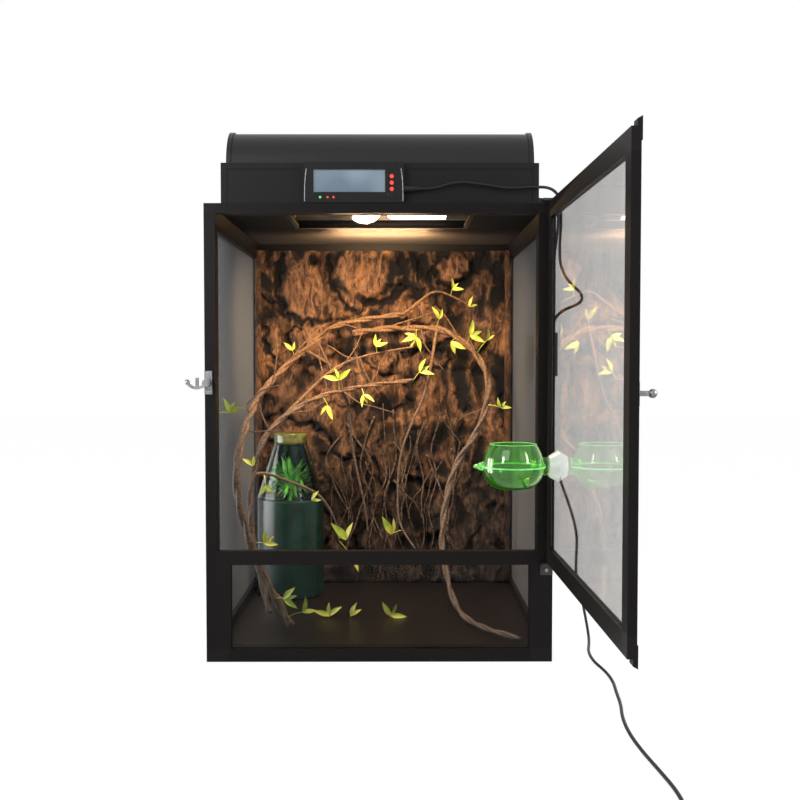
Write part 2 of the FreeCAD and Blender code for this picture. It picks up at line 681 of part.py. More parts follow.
def make_latch():
    pivot_x = -HALF_WIDTH + LATCH_PIVOT_INSET
    pivot = Vector(pivot_x, 0, LATCH_HEIGHT)
    face = FRONT - LATCH_PLATE_THICKNESS
    half = LATCH_PLATE_HEIGHT / 2
    plate = box(
        -HALF_WIDTH, -HALF_WIDTH + LATCH_PLATE_WIDTH, face, FRONT,
        LATCH_HEIGHT - half, LATCH_HEIGHT + half,
    )
    boss = rod(
        Vector(pivot_x, face, LATCH_HEIGHT), Vector(pivot_x, lever_back() + SEAT_GAP, LATCH_HEIGHT),
        LATCH_BOSS_RADIUS,
    )
    pin_end = lever_front() - SEAT_GAP
    pin = rod(
        Vector(pivot_x, face, LATCH_HEIGHT), Vector(pivot_x, pin_end, LATCH_HEIGHT), LATCH_PIVOT_RADIUS
    )
    head = rod(
        Vector(pivot_x, pin_end, LATCH_HEIGHT),
        Vector(pivot_x, pin_end - SCREW_HEAD_HEIGHT, LATCH_HEIGHT), LATCH_BOSS_RADIUS,
    )
    save("latch_plate", fused([plate, boss, pin, head]))
    y0, y1 = lever_front(), lever_back()
    hub = rod(pivot + Vector(0, y0, 0), pivot + Vector(0, y1, 0), LATCH_HUB_RADIUS)
    bar = LEVER_BAR
    ball_end = pivot + Vector(-LEVER_REACH, y0, LEVER_BALL_RISE)
    low = pivot + Vector(-LEVER_REACH / 2, y0, -LEVER_SAG)
    arm = bent_bar(pivot + Vector(0, y0, 0), low, ball_end, bar, y1 - y0)
    prong_x = pivot_x - LEVER_PRONG_OFFSET
    prong = box(prong_x - bar / 2, prong_x + bar / 2, y0, y1, low.z, low.z + LEVER_PRONG_RISE)
    ball_centre = ball_end + Vector(0, (y1 - y0) / 2, 0)
    ball = Part.makeSphere(LEVER_BALL_RADIUS, ball_centre)
    ball.rotate(ball_centre, Vector(0, 0, 1), 180)
    bore = rod(
        pivot + Vector(0, y0, 0), pivot + Vector(0, y1, 0), LATCH_PIVOT_RADIUS + LATCH_PIVOT_CLEARANCE
    )
    save("latch_lever", fused([hub, arm, prong, ball]).cut(bore))
    offset = Vector(0, 0, LATCH_SCREW_SPACING / 2)
    centre = Vector(-HALF_WIDTH + LATCH_PLATE_WIDTH / 2, face, LATCH_HEIGHT)
    return [(centre + offset, Vector(0, -1, 0)), (centre - offset, Vector(0, -1, 0))]


def make_screws(places):
    heads = [rod(p, p + out * SCREW_HEAD_HEIGHT, SCREW_HEAD_RADIUS) for p, out in places]
    save_group("fixing_screws", heads)


def make_bowl():
    """The green bowl: a turned shell with a ridge, a beak and a neck, and the cup that sticks to the pane."""
    pane_face = DOOR_MIDDLE + PANE_THICKNESS / 2
    centre = Vector(PIVOT.x - BOWL_FROM_HINGE, pane_face + BOWL_FROM_PANE, BOWL_BOTTOM)
    belly = BOWL_HEIGHT / 2

    def shell(inset, floor):
        foot = Vector(BOWL_FOOT_RADIUS - inset, 0, floor)
        side = Vector(BOWL_RADIUS - inset, 0, belly)
        rim = Vector(BOWL_MOUTH_RADIUS - inset, 0, BOWL_HEIGHT)
        low_mid = Vector(
            BOWL_FOOT_RADIUS - inset + BOWL_LOWER_BULGE * (BOWL_RADIUS - BOWL_FOOT_RADIUS), 0,
            floor + BOWL_LOWER_RISE * (belly - floor),
        )
        high_mid = Vector(
            BOWL_MOUTH_RADIUS - inset + BOWL_UPPER_BULGE * (BOWL_RADIUS - BOWL_MOUTH_RADIUS), 0,
            belly + BOWL_UPPER_RISE * (BOWL_HEIGHT - belly),
        )
        edges = [
            Part.LineSegment(Vector(0, 0, floor), foot).toShape(),
            Part.Arc(foot, low_mid, side).toShape(),
            Part.Arc(side, high_mid, rim).toShape(),
            Part.LineSegment(rim, Vector(0, 0, BOWL_HEIGHT)).toShape(),
            Part.LineSegment(Vector(0, 0, BOWL_HEIGHT), Vector(0, 0, floor)).toShape(),
        ]
        return Part.Face(Part.Wire(edges)).revolve(Vector(0, 0, 0), Vector(0, 0, 1), 360)

    ridge = rod(
        Vector(0, 0, belly - BOWL_RIDGE), Vector(0, 0, belly + BOWL_RIDGE), BOWL_RADIUS + BOWL_RIDGE
    )
    beak = taper(
        Vector(0, BOWL_RADIUS - BOWL_WALL, belly), Vector(0, BOWL_RADIUS + BOWL_BEAK, belly),
        BOWL_BEAK_RADIUS, BOWL_RIDGE,
    )
    neck_end = -BOWL_FROM_PANE + CUP_DEPTH
    neck = rod(
        Vector(0, -BOWL_RADIUS + BOWL_WALL, belly), Vector(0, neck_end, belly), BOWL_NECK_RADIUS
    )
    bowl = fused([shell(0, 0), ridge, beak, neck]).cut(shell(BOWL_WALL, BOWL_WALL))
    bowl.translate(centre)
    save("feeding_bowl", opened(bowl))
    cup = taper(
        centre + Vector(0, neck_end, belly), centre + Vector(0, -BOWL_FROM_PANE, belly),
        BOWL_NECK_RADIUS + BOWL_RIDGE, CUP_RADIUS,
    )
    save("suction_cup", opened(cup))


# Hood

def half_round(radius, x0, x1, y, z):
    """A lying half cylinder, flat side down, from x0 to x1."""
    full = rod(Vector(x0, y, z), Vector(x1, y, z), radius)
    return full.common(box(x0, x1, y - radius, y + radius, z, z + radius))


def make_hood():
    w = HOOD_WALL
    outer = box(-HOOD_END, HOOD_END, HOOD_FRONT, HOOD_BACK, HOOD_BOTTOM, HOOD_TOP)
    inner = box(-HOOD_END + w, HOOD_END - w, HOOD_FRONT + w, HOOD_BACK - w, HOOD_BOTTOM, HOOD_TOP - w)
    m = PANEL_MARGIN
    case_left = CASE_CENTRE_X - CASE_WIDTH / 2
    case_right = CASE_CENTRE_X + CASE_WIDTH / 2
    panels = [
        box(x0, x1, HOOD_FRONT, HOOD_FRONT + PANEL_RECESS, HOOD_BOTTOM + m, HOOD_TOP - m)
        for x0, x1 in ((-HOOD_END + m, case_left - m), (case_right + m, HOOD_END - m))
    ]
    save("hood_housing", outer.cut(inner).cut(Part.makeCompound(panels)))
    end = HOOD_END - DOME_SET_IN
    body_end = end - CAP_THICKNESS
    dome = half_round(DOME_RADIUS, -body_end, body_end, HOOD_MIDDLE, HOOD_TOP)
    hollow = half_round(DOME_RADIUS - DOME_WALL, -body_end, body_end, HOOD_MIDDLE, HOOD_TOP)
    save("hood_dome", dome.cut(hollow))
    caps = [
        half_round(DOME_RADIUS + CAP_RIM, x0, x1, HOOD_MIDDLE, HOOD_TOP)
        for x0, x1 in ((-end, -body_end), (body_end, end))
    ]
    save_group("hood_end_caps", caps)
    low = HOOD_TOP - w - REFLECTOR_GAP - REFLECTOR_RADIUS
    reach = HOOD_END - w - REFLECTOR_SET_IN
    arch = half_round(REFLECTOR_RADIUS, -reach, reach, HOOD_MIDDLE, low)
    room = half_round(REFLECTOR_RADIUS - REFLECTOR_THICKNESS, -reach, reach, HOOD_MIDDLE, low)
    holders, bulb, uvb = make_lamps()
    reflector = arch.cut(room)
    save("hood_reflector", reflector)
    save_group("lamp_holders", holders)
    save("basking_bulb", bulb)
    save("uvb_lamp", uvb)


def make_lamps():
    """Each holder fills the room between the hood's end and the foot of its lamp."""
    z = HOOD_BOTTOM + LAMP_AXIS_HEIGHT
    wall = HOOD_END - HOOD_WALL

    def on_axis(x):
        return Vector(x, HOOD_MIDDLE, z)

    holders = [
        rod(on_axis(-wall), on_axis(-LAMP_FOOT), HOLDER_RADIUS),
        rod(on_axis(LAMP_FOOT), on_axis(wall), HOLDER_RADIUS),
    ]
    neck_end = -LAMP_FOOT + BULB_NECK_LENGTH
    globe_x = neck_end + math.sqrt(BULB_RADIUS ** 2 - BULB_NECK_RADIUS ** 2)
    bulb = fused([
        rod(on_axis(-LAMP_FOOT), on_axis(globe_x), BULB_NECK_RADIUS),
        Part.makeSphere(BULB_RADIUS, on_axis(globe_x)),
    ])
    base_end = LAMP_FOOT - UVB_BASE_LENGTH
    tip = base_end - UVB_TUBE_LENGTH
    tubes = []
    for dy in (-UVB_TUBE_SPREAD, UVB_TUBE_SPREAD):
        for dz in (-UVB_TUBE_SPREAD, UVB_TUBE_SPREAD):
            shift = Vector(0, dy, dz)
            tubes.append(rod(on_axis(base_end) + shift, on_axis(tip) + shift, UVB_TUBE_RADIUS))
            tubes.append(Part.makeSphere(UVB_TUBE_RADIUS, on_axis(tip) + shift))
    base = rod(on_axis(LAMP_FOOT), on_axis(base_end), UVB_BASE_RADIUS)
    return holders, bulb, fused([base, *tubes])


# Controller

def make_controller():
    x0, x1 = CASE_CENTRE_X - CASE_WIDTH / 2, CASE_CENTRE_X + CASE_WIDTH / 2
    z0, z1 = CASE_BOTTOM, CASE_BOTTOM + CASE_HEIGHT
    w = CASE_WALL
    inner_front = CASE_FRONT + w
    shell = rounded(box(x0, x1, CASE_FRONT, HOOD_FRONT, z0, z1), CASE_CORNER, Vector(0, 1, 0))
    shell = shell.cut(box(x0 + w, x1 - w, inner_front, HOOD_FRONT, z0 + w, z1 - w))
    lcd_x = CASE_CENTRE_X + LCD_SHIFT_X
    lcd_z = z0 + LCD_RISE
    window = box(
        lcd_x - LCD_WIDTH / 2, lcd_x + LCD_WIDTH / 2, CASE_FRONT, inner_front, lcd_z, lcd_z + LCD_HEIGHT
    )
    board_front = CASE_FRONT + BOARD_DEPTH_IN
    bosses = [
        rod(Vector(x, inner_front, z), Vector(x, board_front, z), BOSS_RADIUS)
        for x in (x0 + BOSS_INSET, x1 - BOSS_INSET)
        for z in (z0 + BOSS_INSET, z1 - BOSS_INSET)
    ]
    shell = fused([shell, *bosses]).cut(window)
    button_places = [
        Vector(CASE_CENTRE_X + BUTTON_X, 0, z0 + BUTTON_TOP_RISE - i * BUTTON_PITCH) for i in range(3)
    ]
    light_places = [
        Vector(CASE_CENTRE_X + dx, 0, z0 + LIGHT_RISE) for dx in LIGHT_OFFSETS
    ]
    front = Vector(0, CASE_FRONT, 0)
    back = Vector(0, inner_front, 0)
    for place in button_places:
        shell = shell.cut(rod(place + front, place + back, BUTTON_RADIUS + BUTTON_CLEARANCE))
    for place in light_places:
        shell = shell.cut(rod(place + front, place + back, LIGHT_RADIUS))
    save("controller_case", shell)
    lap = LCD_LAP
    screen = box(
        lcd_x - LCD_WIDTH / 2 - lap, lcd_x + LCD_WIDTH / 2 + lap, inner_front, inner_front + LCD_THICKNESS,
        lcd_z - lap, lcd_z + LCD_HEIGHT + lap,
    )
    save("controller_screen", screen)
    board = box(
        x0 + w + BOARD_CLEARANCE, x1 - w - BOARD_CLEARANCE, board_front, board_front + BOARD_THICKNESS,
        z0 + w + BOARD_CLEARANCE, z1 - w - BOARD_CLEARANCE,
    )
    save("controller_board", board)
    for place, name in zip(button_places, ("upper_button", "middle_button", "lower_button")):
        head = rod(place + front - Vector(0, BUTTON_PROUD, 0), place + back, BUTTON_RADIUS)
        flange_start = place + back + Vector(0, BUTTON_FLANGE_GAP, 0)
        stem = rod(place + back, flange_start, BUTTON_RADIUS)
        flange = rod(
            flange_start, flange_start + Vector(0, BUTTON_FLANGE, 0), BUTTON_RADIUS + BUTTON_FLANGE
        )
        save(name, fused([head, stem, flange]))
    lights = [
        fused([
            rod(place + front, place + back, LIGHT_RADIUS),
            Part.makeSphere(LIGHT_RADIUS, place + front),
        ])
        for place in light_places
    ]
    save_group("indicator_lights", lights)


# Leads

def route(points, share=0.45):
    """Straight runs joined by tangent arcs, each arc as large as its two runs allow."""
    edges = []
    radii = []
    length = 0.0
    start = points[0]
    for before, here, after in zip(points, points[1:], points[2:]):
        run_in, run_out = here - before, after - here
        shorter = min(run_in.Length, run_out.Length)
        a, b = run_in.normalize(), run_out.normalize()
        turn = a.getAngle(b)
        reach = share * shorter
        radius = reach / math.tan(turn / 2)
        enter, leave = here - a * reach, here + b * reach
        inward = (b - a).normalize()
        centre = here + inward * (radius / math.cos(turn / 2))
        middle = centre - inward * radius
        edges.append(Part.LineSegment(start, enter).toShape())
        edges.append(Part.Arc(enter, middle, leave).toShape())
        length += (enter - start).Length + radius * turn
        radii.append(radius)
        start = leave
    edges.append(Part.LineSegment(start, points[-1]).toShape())
    length += (points[-1] - start).Length
    return Part.Wire(edges), radii, length


def swept(wire, start, direction, radius):
    ring = Part.Wire(Part.Circle(start, direction, radius).toShape())
    return wire.makePipeShell([ring], True, False)


def tube(points, radius):
    wire, radii, length = route(points)
    return swept(wire, points[0], points[1] - points[0], radius), radii, length


def lead(name, points):
    solid, radii, length = tube(points, LEAD_RADIUS)
    save(name, solid)
    share = solid.Volume / (math.pi * LEAD_RADIUS ** 2 * length)
    print(f"  {length:.0f} mm long, radii {' '.join(f'{r:.0f}' for r in radii)}, volume share {share:.4f}")
    return length


def by_hood(x, y, z):
    """A point beside the cage, from its right side, its front and its top."""
    return Vector(HALF_WIDTH + x, FRONT + y, CAGE_HEIGHT + z)


def by_floor(x, y, share):
    """A point of the hanging mains lead, at a share of the adapter's height above the floor."""
    drop = ADAPTER_BOTTOM - GLAND_LENGTH
    return Vector(HALF_WIDTH + x, FRONT + y, drop * share)


def on_floor(x, y):
    return Vector(HALF_WIDTH + x, FRONT + y, LEAD_FLOOR)


def make_leads():
    case_side = CASE_CENTRE_X + CASE_WIDTH / 2
    lead_y = CASE_FRONT + CASE_DEPTH / 2
    lead_z = CASE_BOTTOM + CASE_LEAD_RISE
    case_exit = Vector(case_side + GLAND_LENGTH, lead_y, lead_z)
    hood_exit = Vector(
        HOOD_END + GLAND_LENGTH, HOOD_FRONT + HOOD_LEAD_SET_BACK, HOOD_BOTTOM + HOOD_LEAD_RISE
    )
    front_in = Vector(
        ADAPTER_MIDDLE, ADAPTER_CENTRE_Y - ADAPTER_DEPTH / 2 - GLAND_LENGTH,
        ADAPTER_TOP - ADAPTER_FRONT_LEAD_DROP,
    )
    top_in = Vector(
        ADAPTER_MIDDLE, ADAPTER_CENTRE_Y + ADAPTER_TOP_LEAD_SHIFT, ADAPTER_TOP + GLAND_LENGTH
    )
    mains_exit = Vector(ADAPTER_MIDDLE, ADAPTER_CENTRE_Y, ADAPTER_BOTTOM - GLAND_LENGTH)
    glands = [
        (case_exit, Vector(1, 0, 0)),
        (hood_exit, Vector(1, 0, 0)),
        (front_in, Vector(0, -1, 0)),
        (top_in, Vector(0, 0, 1)),
        (mains_exit, Vector(0, 0, -1)),
    ]
    save_group(
        "lead_glands",
        [taper(p - out * GLAND_LENGTH, p, GLAND_RADIUS, GLAND_TIP_RADIUS) for p, out in glands],
    )
    lead("controller_lead", [
        case_exit,
        case_exit + Vector(22, 0, 0),
        by_hood(-123, 67.5, 39),
        by_hood(-85, 67, 35),
        by_hood(-51, 67, 29),
        by_hood(-17, 67, 32),
        by_hood(8, 70, 31),
        by_hood(22, 80, 15),
        by_hood(26, 93, -10),
        by_hood(25, 101, -40),
        by_hood(26, 105, -67),
        by_hood(33, 101, -87),
        by_hood(44, 90, -101),
        by_hood(52, 79, -111),
        by_hood(51, 69, -121),
        by_hood(40, 63, -128),
        by_hood(25, 62, -133),
        by_hood(14, 70, -144),
        by_hood(10, 84, -160),
        front_in + Vector(0, -24, -4),
        front_in,
    ])
    lead("hood_lead", [
        hood_exit,
        hood_exit + Vector(9, 0, 0),
        by_hood(25, 124.5, 13),
        by_hood(27, 124, -6),
        by_hood(24, 125, -36),
        by_hood(21, 133, -66),
        by_hood(17, 152, -92),
        top_in + Vector(2, -12, 34),
        top_in + Vector(0, 0, 16),
        top_in,
    ])
    entry = Vector(COIL_ENTRY_X, COIL_CENTRE_Y + COIL_END_STRAIGHT, LEAD_FLOOR)
    lead("mains_lead", [
        mains_exit,
        mains_exit - Vector(0, 0, 22),
        by_floor(13, 162, 0.846),
        by_floor(21, 137, 0.743),
        by_floor(31, 119, 0.634),
        by_floor(44, 108, 0.526),
        by_floor(54, 113, 0.423),
        by_floor(56, 131, 0.331),
        by_floor(58, 147, 0.240),
        by_floor(64, 147, 0.149),
        by_floor(68, 134, 0.069),
        by_floor(68, 110, 0.017),
        on_floor(63, 79),
        on_floor(54, 38),
        on_floor(53, -7),
        on_floor(60, -49),
        on_floor(61, -91),
        on_floor(56, -133),
        on_floor(52, -177),
        on_floor(44, -221),
        on_floor(41, -269),
        on_floor(43, -319),
        on_floor(48, -369),
        on_floor(52, -417),
        on_floor(49, -461),
        entry + Vector(0, 32, 0),
        entry,
    ])
    make_coil(entry)
    adapter = box(
        ADAPTER_LEFT, ADAPTER_LEFT + ADAPTER_WIDTH,
        ADAPTER_CENTRE_Y - ADAPTER_DEPTH / 2, ADAPTER_CENTRE_Y + ADAPTER_DEPTH / 2,
        ADAPTER_BOTTOM, ADAPTER_TOP,
    )
    save("power_adapter", rounded(adapter, ADAPTER_ROUND, Vector(0, 0, 1)))


def make_coil(entry):
    """The put-away length: a spiral in on the floor, a climbing half turn, and a spiral out on top of it."""
    centre = Vector(COIL_CENTRE_X, COIL_CENTRE_Y, 0)
    upper = LEAD_FLOOR + COIL_LAYER_RISE
    half_turns = 2 * COIL_TURNS
    radii = [COIL_OUTER_RADIUS - i * COIL_STEP / 2 for i in range(half_turns + 2)]
    inward = [(r, LEAD_FLOOR) for r in radii[:-1]]
    outward = [(radii[-1], upper)]
    for turn in range(COIL_TURNS):
        r = radii[-1] + COIL_CLIMB_ROOM + (turn + 1) * COIL_STEP
        outward += [(r, upper), (r, upper)]
    stations = []
    for i, (r, z) in enumerate(inward + outward):
        side = 1 if i % 2 == 0 else -1
        stations.append(centre + Vector(side * r, 0, z))
    edges = [Part.LineSegment(entry, stations[0]).toShape()]
    for i, (a, b) in enumerate(zip(stations, stations[1:])):
        heading = Vector(0, -1 if i % 2 == 0 else 1, 0)
        half = (b - a) / 2
        joint = a + half + heading * half.Length
        corner_in = a + heading * half.Length
        corner_out = b + heading * half.Length
        first = quarter_middle(a, corner_in, joint)
        second = quarter_middle(joint, corner_out, b)
        edges.append(Part.Arc(a, first, joint).toShape())
        edges.append(Part.Arc(joint, second, b).toShape())
    last = stations[-1]
    end_heading = Vector(0, -1 if (len(stations) - 1) % 2 == 0 else 1, 0)
    end = last + end_heading * COIL_TAIL
    edges.append(Part.LineSegment(last, end).toShape())
    wire = Part.Wire(edges)
    solid = swept(wire, entry, stations[0] - entry, LEAD_RADIUS)
    save("mains_coil", solid)
    samples = wire.discretize(Number=900)
    turn = 1.2 * math.pi * radii[-1]
    step = wire.Length / 899
    skip = int(turn / step)
    gap = min(
        (p - q).Length
        for i, p in enumerate(samples)
        for q in samples[i + skip:]
    ) - 2 * LEAD_RADIUS
    share = solid.Volume / (math.pi * LEAD_RADIUS ** 2 * wire.Length)
    print(f"  {wire.Length:.0f} mm long, least gap to itself {gap:.2f} mm, volume share {share:.4f}")
    make_plug(end, end_heading)


def quarter_middle(start, corner, end):
    """The middle of the arc that leaves start and reaches end along the two sides of a corner."""
    chord = (start + end) / 2
    sagitta = (math.sqrt(2) - 1) * (end - start).Length / 2
    return chord + (corner - chord).normalize() * sagitta


def make_plug(end, heading):
    length = PLUG_LENGTH
    half = PLUG_WIDTH / 2
    y0, y1 = sorted((end.y, end.y + heading.y * length))
    body = box(end.x - half, end.x + half, y0, y1, FLOOR_GAP, 2 * end.z - FLOOR_GAP)
    save("mains_plug", rounded(body, PLUG_ROUND, Vector(0, 0, 1)))
    face = Vector(end.x, end.y + heading.y * length, end.z)
    side = Vector(PLUG_PIN_SPACING / 2, 0, 0)
    pins = [
        rod(face + shift, face + shift + heading * PLUG_PIN_LENGTH, PLUG_PIN_RADIUS)
        for shift in (side, side * -1)
    ]
    save_group("plug_pins", pins)


# Furnishing. Places are measured from a side wall, from the back wall and from the floor.

def from_left(x, y, z):
    return Vector(LEFT_WALL + x, BACK_WALL - y, FLOOR_TOP + z)


def from_right(x, y, z):
    return Vector(RIGHT_WALL - x, BACK_WALL - y, FLOOR_TOP + z)


def bark_depth(x, z):
    """How far the bark stands out from its back at one place."""
    plates = abs(math.sin(x / 25.0 + 0.8 * math.sin(z / 66.0)))
    ledges = abs(math.sin(z / 38.0 + 0.7 * math.sin(x / 45.0)))
    knots = math.sin(x / 23.0 + z / 31.0) ** 2
    height = 0.55 * plates + 0.3 * ledges + 0.15 * knots
    return BARK_THIN + (BARK_THICK - BARK_THIN) * height


def make_bark():
    x0, x1 = LEFT_WALL + BARK_MARGIN, RIGHT_WALL - BARK_MARGIN
    z0, z1 = BOTTOM_RAIL_HEIGHT + SEAT_GAP, CAGE_HEIGHT - BARK_TOP_GAP
    back = BACK_WALL - SEAT_GAP
    sections = []
    for row in range(BARK_ROWS + 1):
        z = z0 + (z1 - z0) * row / BARK_ROWS
        points = []
        for column in range(BARK_COLUMNS + 1):
            x = x0 + (x1 - x0) * column / BARK_COLUMNS
            points.append(Vector(x, back - bark_depth(x, z), z))
        points += [Vector(x1, back, z), Vector(x0, back, z), points[0]]
        sections.append(Part.makePolygon(points))
    save("bark_background", Part.makeLoft(sections, True, True))


def make_vines():
    main = tube([
        from_left(86, 327, 3.6),
        from_left(48, 332, 79),
        from_left(33, 342, 122),
        from_left(16, 352, 185),
        from_left(13, 350, 227),
        from_left(18, 322, 273),
        from_left(25, 262, 312),
        from_left(34, 202, 338),
        from_left(58, 142, 368),
        from_left(73, 112, 385),
        from_left(100, 84, 409),
        from_left(128, 68, 435),
        from_left(175, 64, 447),
        from_left(250, 64, 457),
    ], MAIN_VINE_RADIUS)[0]
    shoot = tube([
        from_left(247, 64, 457),
        from_left(270, 66, 474),
        from_left(296, 62, 496),
        from_left(324, 62, 488),
        from_left(352, 66, 472),
    ], TWIG_RADIUS)[0]
    spur = tube([
        from_left(86, 98, 397),
        from_left(109, 90, 386),
        from_left(131, 88, 370),
    ], TWIG_RADIUS)[0]
    main_vine = fused([main, shoot, spur])
    save("main_vine", main_vine)
    second = tube([
        from_left(47, 252, 1.6),
        from_left(26, 245, 82),
        from_left(16, 243, 166),
        from_left(21, 242, 210),
        from_left(37, 240, 267),
        from_left(60, 202, 293),
        from_left(102, 164, 320),
        from_left(147, 134, 333),
        from_left(201, 116, 342),
        from_left(262, 106, 348),
    ], SECOND_VINE_RADIUS)[0]
    rising = tube([
        from_left(62, 200, 294),
        from_left(96, 152, 331),
        from_left(134, 118, 369),
        from_left(188, 104, 391),
        from_left(262, 99, 402),
    ], TWIG_RADIUS)[0]
    hanging = tube([
        from_left(147, 134, 333),
        from_left(156, 108, 318),
        from_left(159, 90, 292),
        from_left(163, 86, 235),
        from_left(176, 84, 174),
        from_left(186, 83, 130),
        from_left(188, 82, 98),
    ], TWIG_RADIUS)[0]
    tank_twig = tube([
        from_left(21, 242, 211),
        from_left(38, 238, 215),
        from_left(66, 212, 200),
        from_left(109, 192, 181),
        from_left(128, 182, 160),
        from_left(143, 174, 127),
        from_left(146, 172, 100),
    ], TWIG_RADIUS)[0]
    second_vine = fused([second, rising, hanging, tank_twig])
    save("second_vine", second_vine)
    lying = RIGHT_VINE_RADIUS + SEAT_GAP
    right = tube([
        from_right(262, 68, 424),
        from_right(212, 68, 433),
        from_right(162, 68, 432),
        from_right(124, 74, 434),
        from_right(88, 84, 416),
        from_right(64, 94, 395),
        from_right(47, 112, 366),
        from_right(42, 124, 334),
        from_right(50, 133, 299),
        from_right(67, 143, 260),
        from_right(91, 153, 230),
        from_right(107, 164, 194),
        from_right(118, 183, 145),
        from_right(122, 203, 97),
        from_right(116, 222, 65),
        from_right(108, 250, 28),
        from_right(93, 284, lying),
        from_right(68, 343, lying),
        from_right(46, 375, lying),
        from_right(24, 398, lying),
    ], RIGHT_VINE_RADIUS)[0]
    drooping = tube([
        from_right(124, 74, 434),
        from_right(131, 87, 385),
        from_right(144, 93, 323),
        from_right(168, 98, 274),
        from_right(186, 103, 224),
        from_right(189, 112, 147),
        from_right(184, 122, 110),
        from_right(160, 140, 82),
    ], TWIG_RADIUS)[0]
    right_vine = fused([right, drooping])
    save("right_vine", right_vine)
    return main_vine, second_vine, right_vine


def blade(root, aim, facing, length):
    """One leaf: a pointed flat blade from its root along aim, with its face turned towards facing."""
    along = Vector(aim).normalize()
    across = along.cross(facing).normalize()
    up = across.cross(along).normalize()
    root = root + along * LEAF_ROOT_OFFSET - up * (LEAF_BLADE_THICKNESS / 2)
    tip = root + along * length
    half = across * (length * LEAF_WIDTH_SHARE)
    foot = across * LEAF_ROOT_HALF
    belly = root + along * (length * 0.45)
    outline = Part.Wire([
        Part.Arc(root + foot, belly + half, tip).toShape(),
        Part.Arc(tip, belly - half, root - foot).toShape(),
        Part.LineSegment(root - foot, root + foot).toShape(),
    ])
    return Part.Face(outline).extrude(up * LEAF_BLADE_THICKNESS)


def bud(place, size):
    corner = Vector(size, size, size) / 2
    return Part.makeBox(size, size, size, place - corner)


def sprig(carrier, place, lean, length, blades):
    """Blades that fan out from one place, on a stem that starts at the nearest point of what carries it."""
    seat = carrier.distToShape(Part.Vertex(place))[1][0][0]
    outward = (place - seat).normalize()
    start = seat + outward * SEAT_GAP
    pieces = [rod(start, place, LEAF_STEM_RADIUS), bud(place, LEAF_BUD_SIZE)]
    for i in range(blades):
        angle = math.radians(lean + (i - (blades - 1) / 2) * 62)
        aim = Vector(math.sin(angle), -0.35 + 0.25 * (i % 2), math.cos(angle))
        facing = Vector(0.2, -1, 0.35)
        pieces.append(blade(place, aim, facing, length * (1 - 0.12 * (i % 2))))
    return fused(pieces)


def make_leaves(main_vine, second_vine, right_vine, board):
    left_screen = SIDE_SCREENS[0].screen()
    floor_rise = 3.0
    sprigs = [
        sprig(main_vine, from_left(70, 124, 396), -20, 17, 2),
        sprig(main_vine, from_left(326, 73, 496), 26, 20, 2),
        sprig(main_vine, from_left(354, 74, 468), 40, 17, 2),
        sprig(main_vine, from_left(78, 345, 50), 60, 20, 2),
        sprig(main_vine, from_left(104, 340, 30), 50, 20, 2),
        sprig(second_vine, from_left(202, 112, 403), 10, 18, 2),
        sprig(second_vine, from_left(144, 146, 350), -15, 26, 3),
        sprig(second_vine, from_left(183, 130, 326), 130, 20, 2),
        sprig(second_vine, from_left(128, 158, 310), 200, 20, 2),
        sprig(second_vine, from_left(272, 112, 362), 30, 20, 2),
        sprig(second_vine, from_left(24, 256, 226), -10, 18, 2),
        sprig(second_vine, from_left(42, 250, 196), 140, 17, 2),
        sprig(second_vine, from_left(106, 204, 168), 70, 18, 2),
        sprig(second_vine, from_left(40, 256, 112), 20, 18, 2),
        sprig(second_vine, from_left(158, 182, 104), 0, 30, 2),
        sprig(second_vine, from_left(166, 184, 76), 70, 22, 2),
        sprig(right_vine, from_right(121, 88, 447), 10, 24, 2),
        sprig(right_vine, from_right(158, 84, 418), 200, 24, 3),
        sprig(right_vine, from_right(102, 98, 410), 150, 22, 2),
        sprig(right_vine, from_right(72, 106, 420), 30, 22, 2),
        sprig(right_vine, from_right(46, 114, 412), 40, 20, 2),
        sprig(right_vine, from_right(26, 140, 306), 0, 18, 2),
        sprig(right_vine, from_right(198, 130, 104), 0, 30, 2),
        sprig(board, from_left(135, 250, floor_rise), -40, 20, 2),
        sprig(board, from_left(167, 252, floor_rise), 40, 20, 2),
        sprig(board, from_left(226, 250, floor_rise), 0, 24, 2),
        sprig(left_screen, from_left(9, 376, 310), 64, 30, 3),
    ]
    save_group("leaf_sprigs", sprigs)


def make_tank():
    foot = from_left(TANK_FROM_LEFT, TANK_FROM_BACK, SEAT_GAP)
    up = Vector(0, 0, 1)
    rim = foot + up * TANK_HEIGHT
    top = rim + up * CONE_HEIGHT
    w = TANK_WALL
    tank = rod(foot, rim, TANK_RADIUS).cut(rod(foot + up * w, rim, TANK_RADIUS - w))
    save("drip_tank", tank)
    cone = taper(rim, top, TANK_RADIUS, CONE_TOP_RADIUS)
    save("drip_cone", cone.cut(taper(rim, top, TANK_RADIUS - w, CONE_TOP_RADIUS - w)))
    save("drip_cap", rod(top, top + up * CAP_HEIGHT, CONE_TOP_RADIUS))
    crown = rim + up * (CONE_HEIGHT * 0.12)
    pieces = [
        rod(foot + up * (w + SEAT_GAP), crown, PLANT_STEM_RADIUS),
        bud(crown, 2 * PLANT_CROWN_RADIUS),
    ]
    for i in range(PLANT_BLADES):
        turn = 2 * math.pi * i / PLANT_BLADES
        aim = Vector(0.55 * math.cos(turn), 0.55 * math.sin(turn), 1)
        facing = Vector(-math.cos(turn), -math.sin(turn), 0.5)
        root = crown + Vector(math.cos(turn), math.sin(turn), 1) * (PLANT_CROWN_RADIUS / 2)
        pieces.append(blade(root, aim, facing, PLANT_BLADE))
    save("drip_plant", fused(pieces))


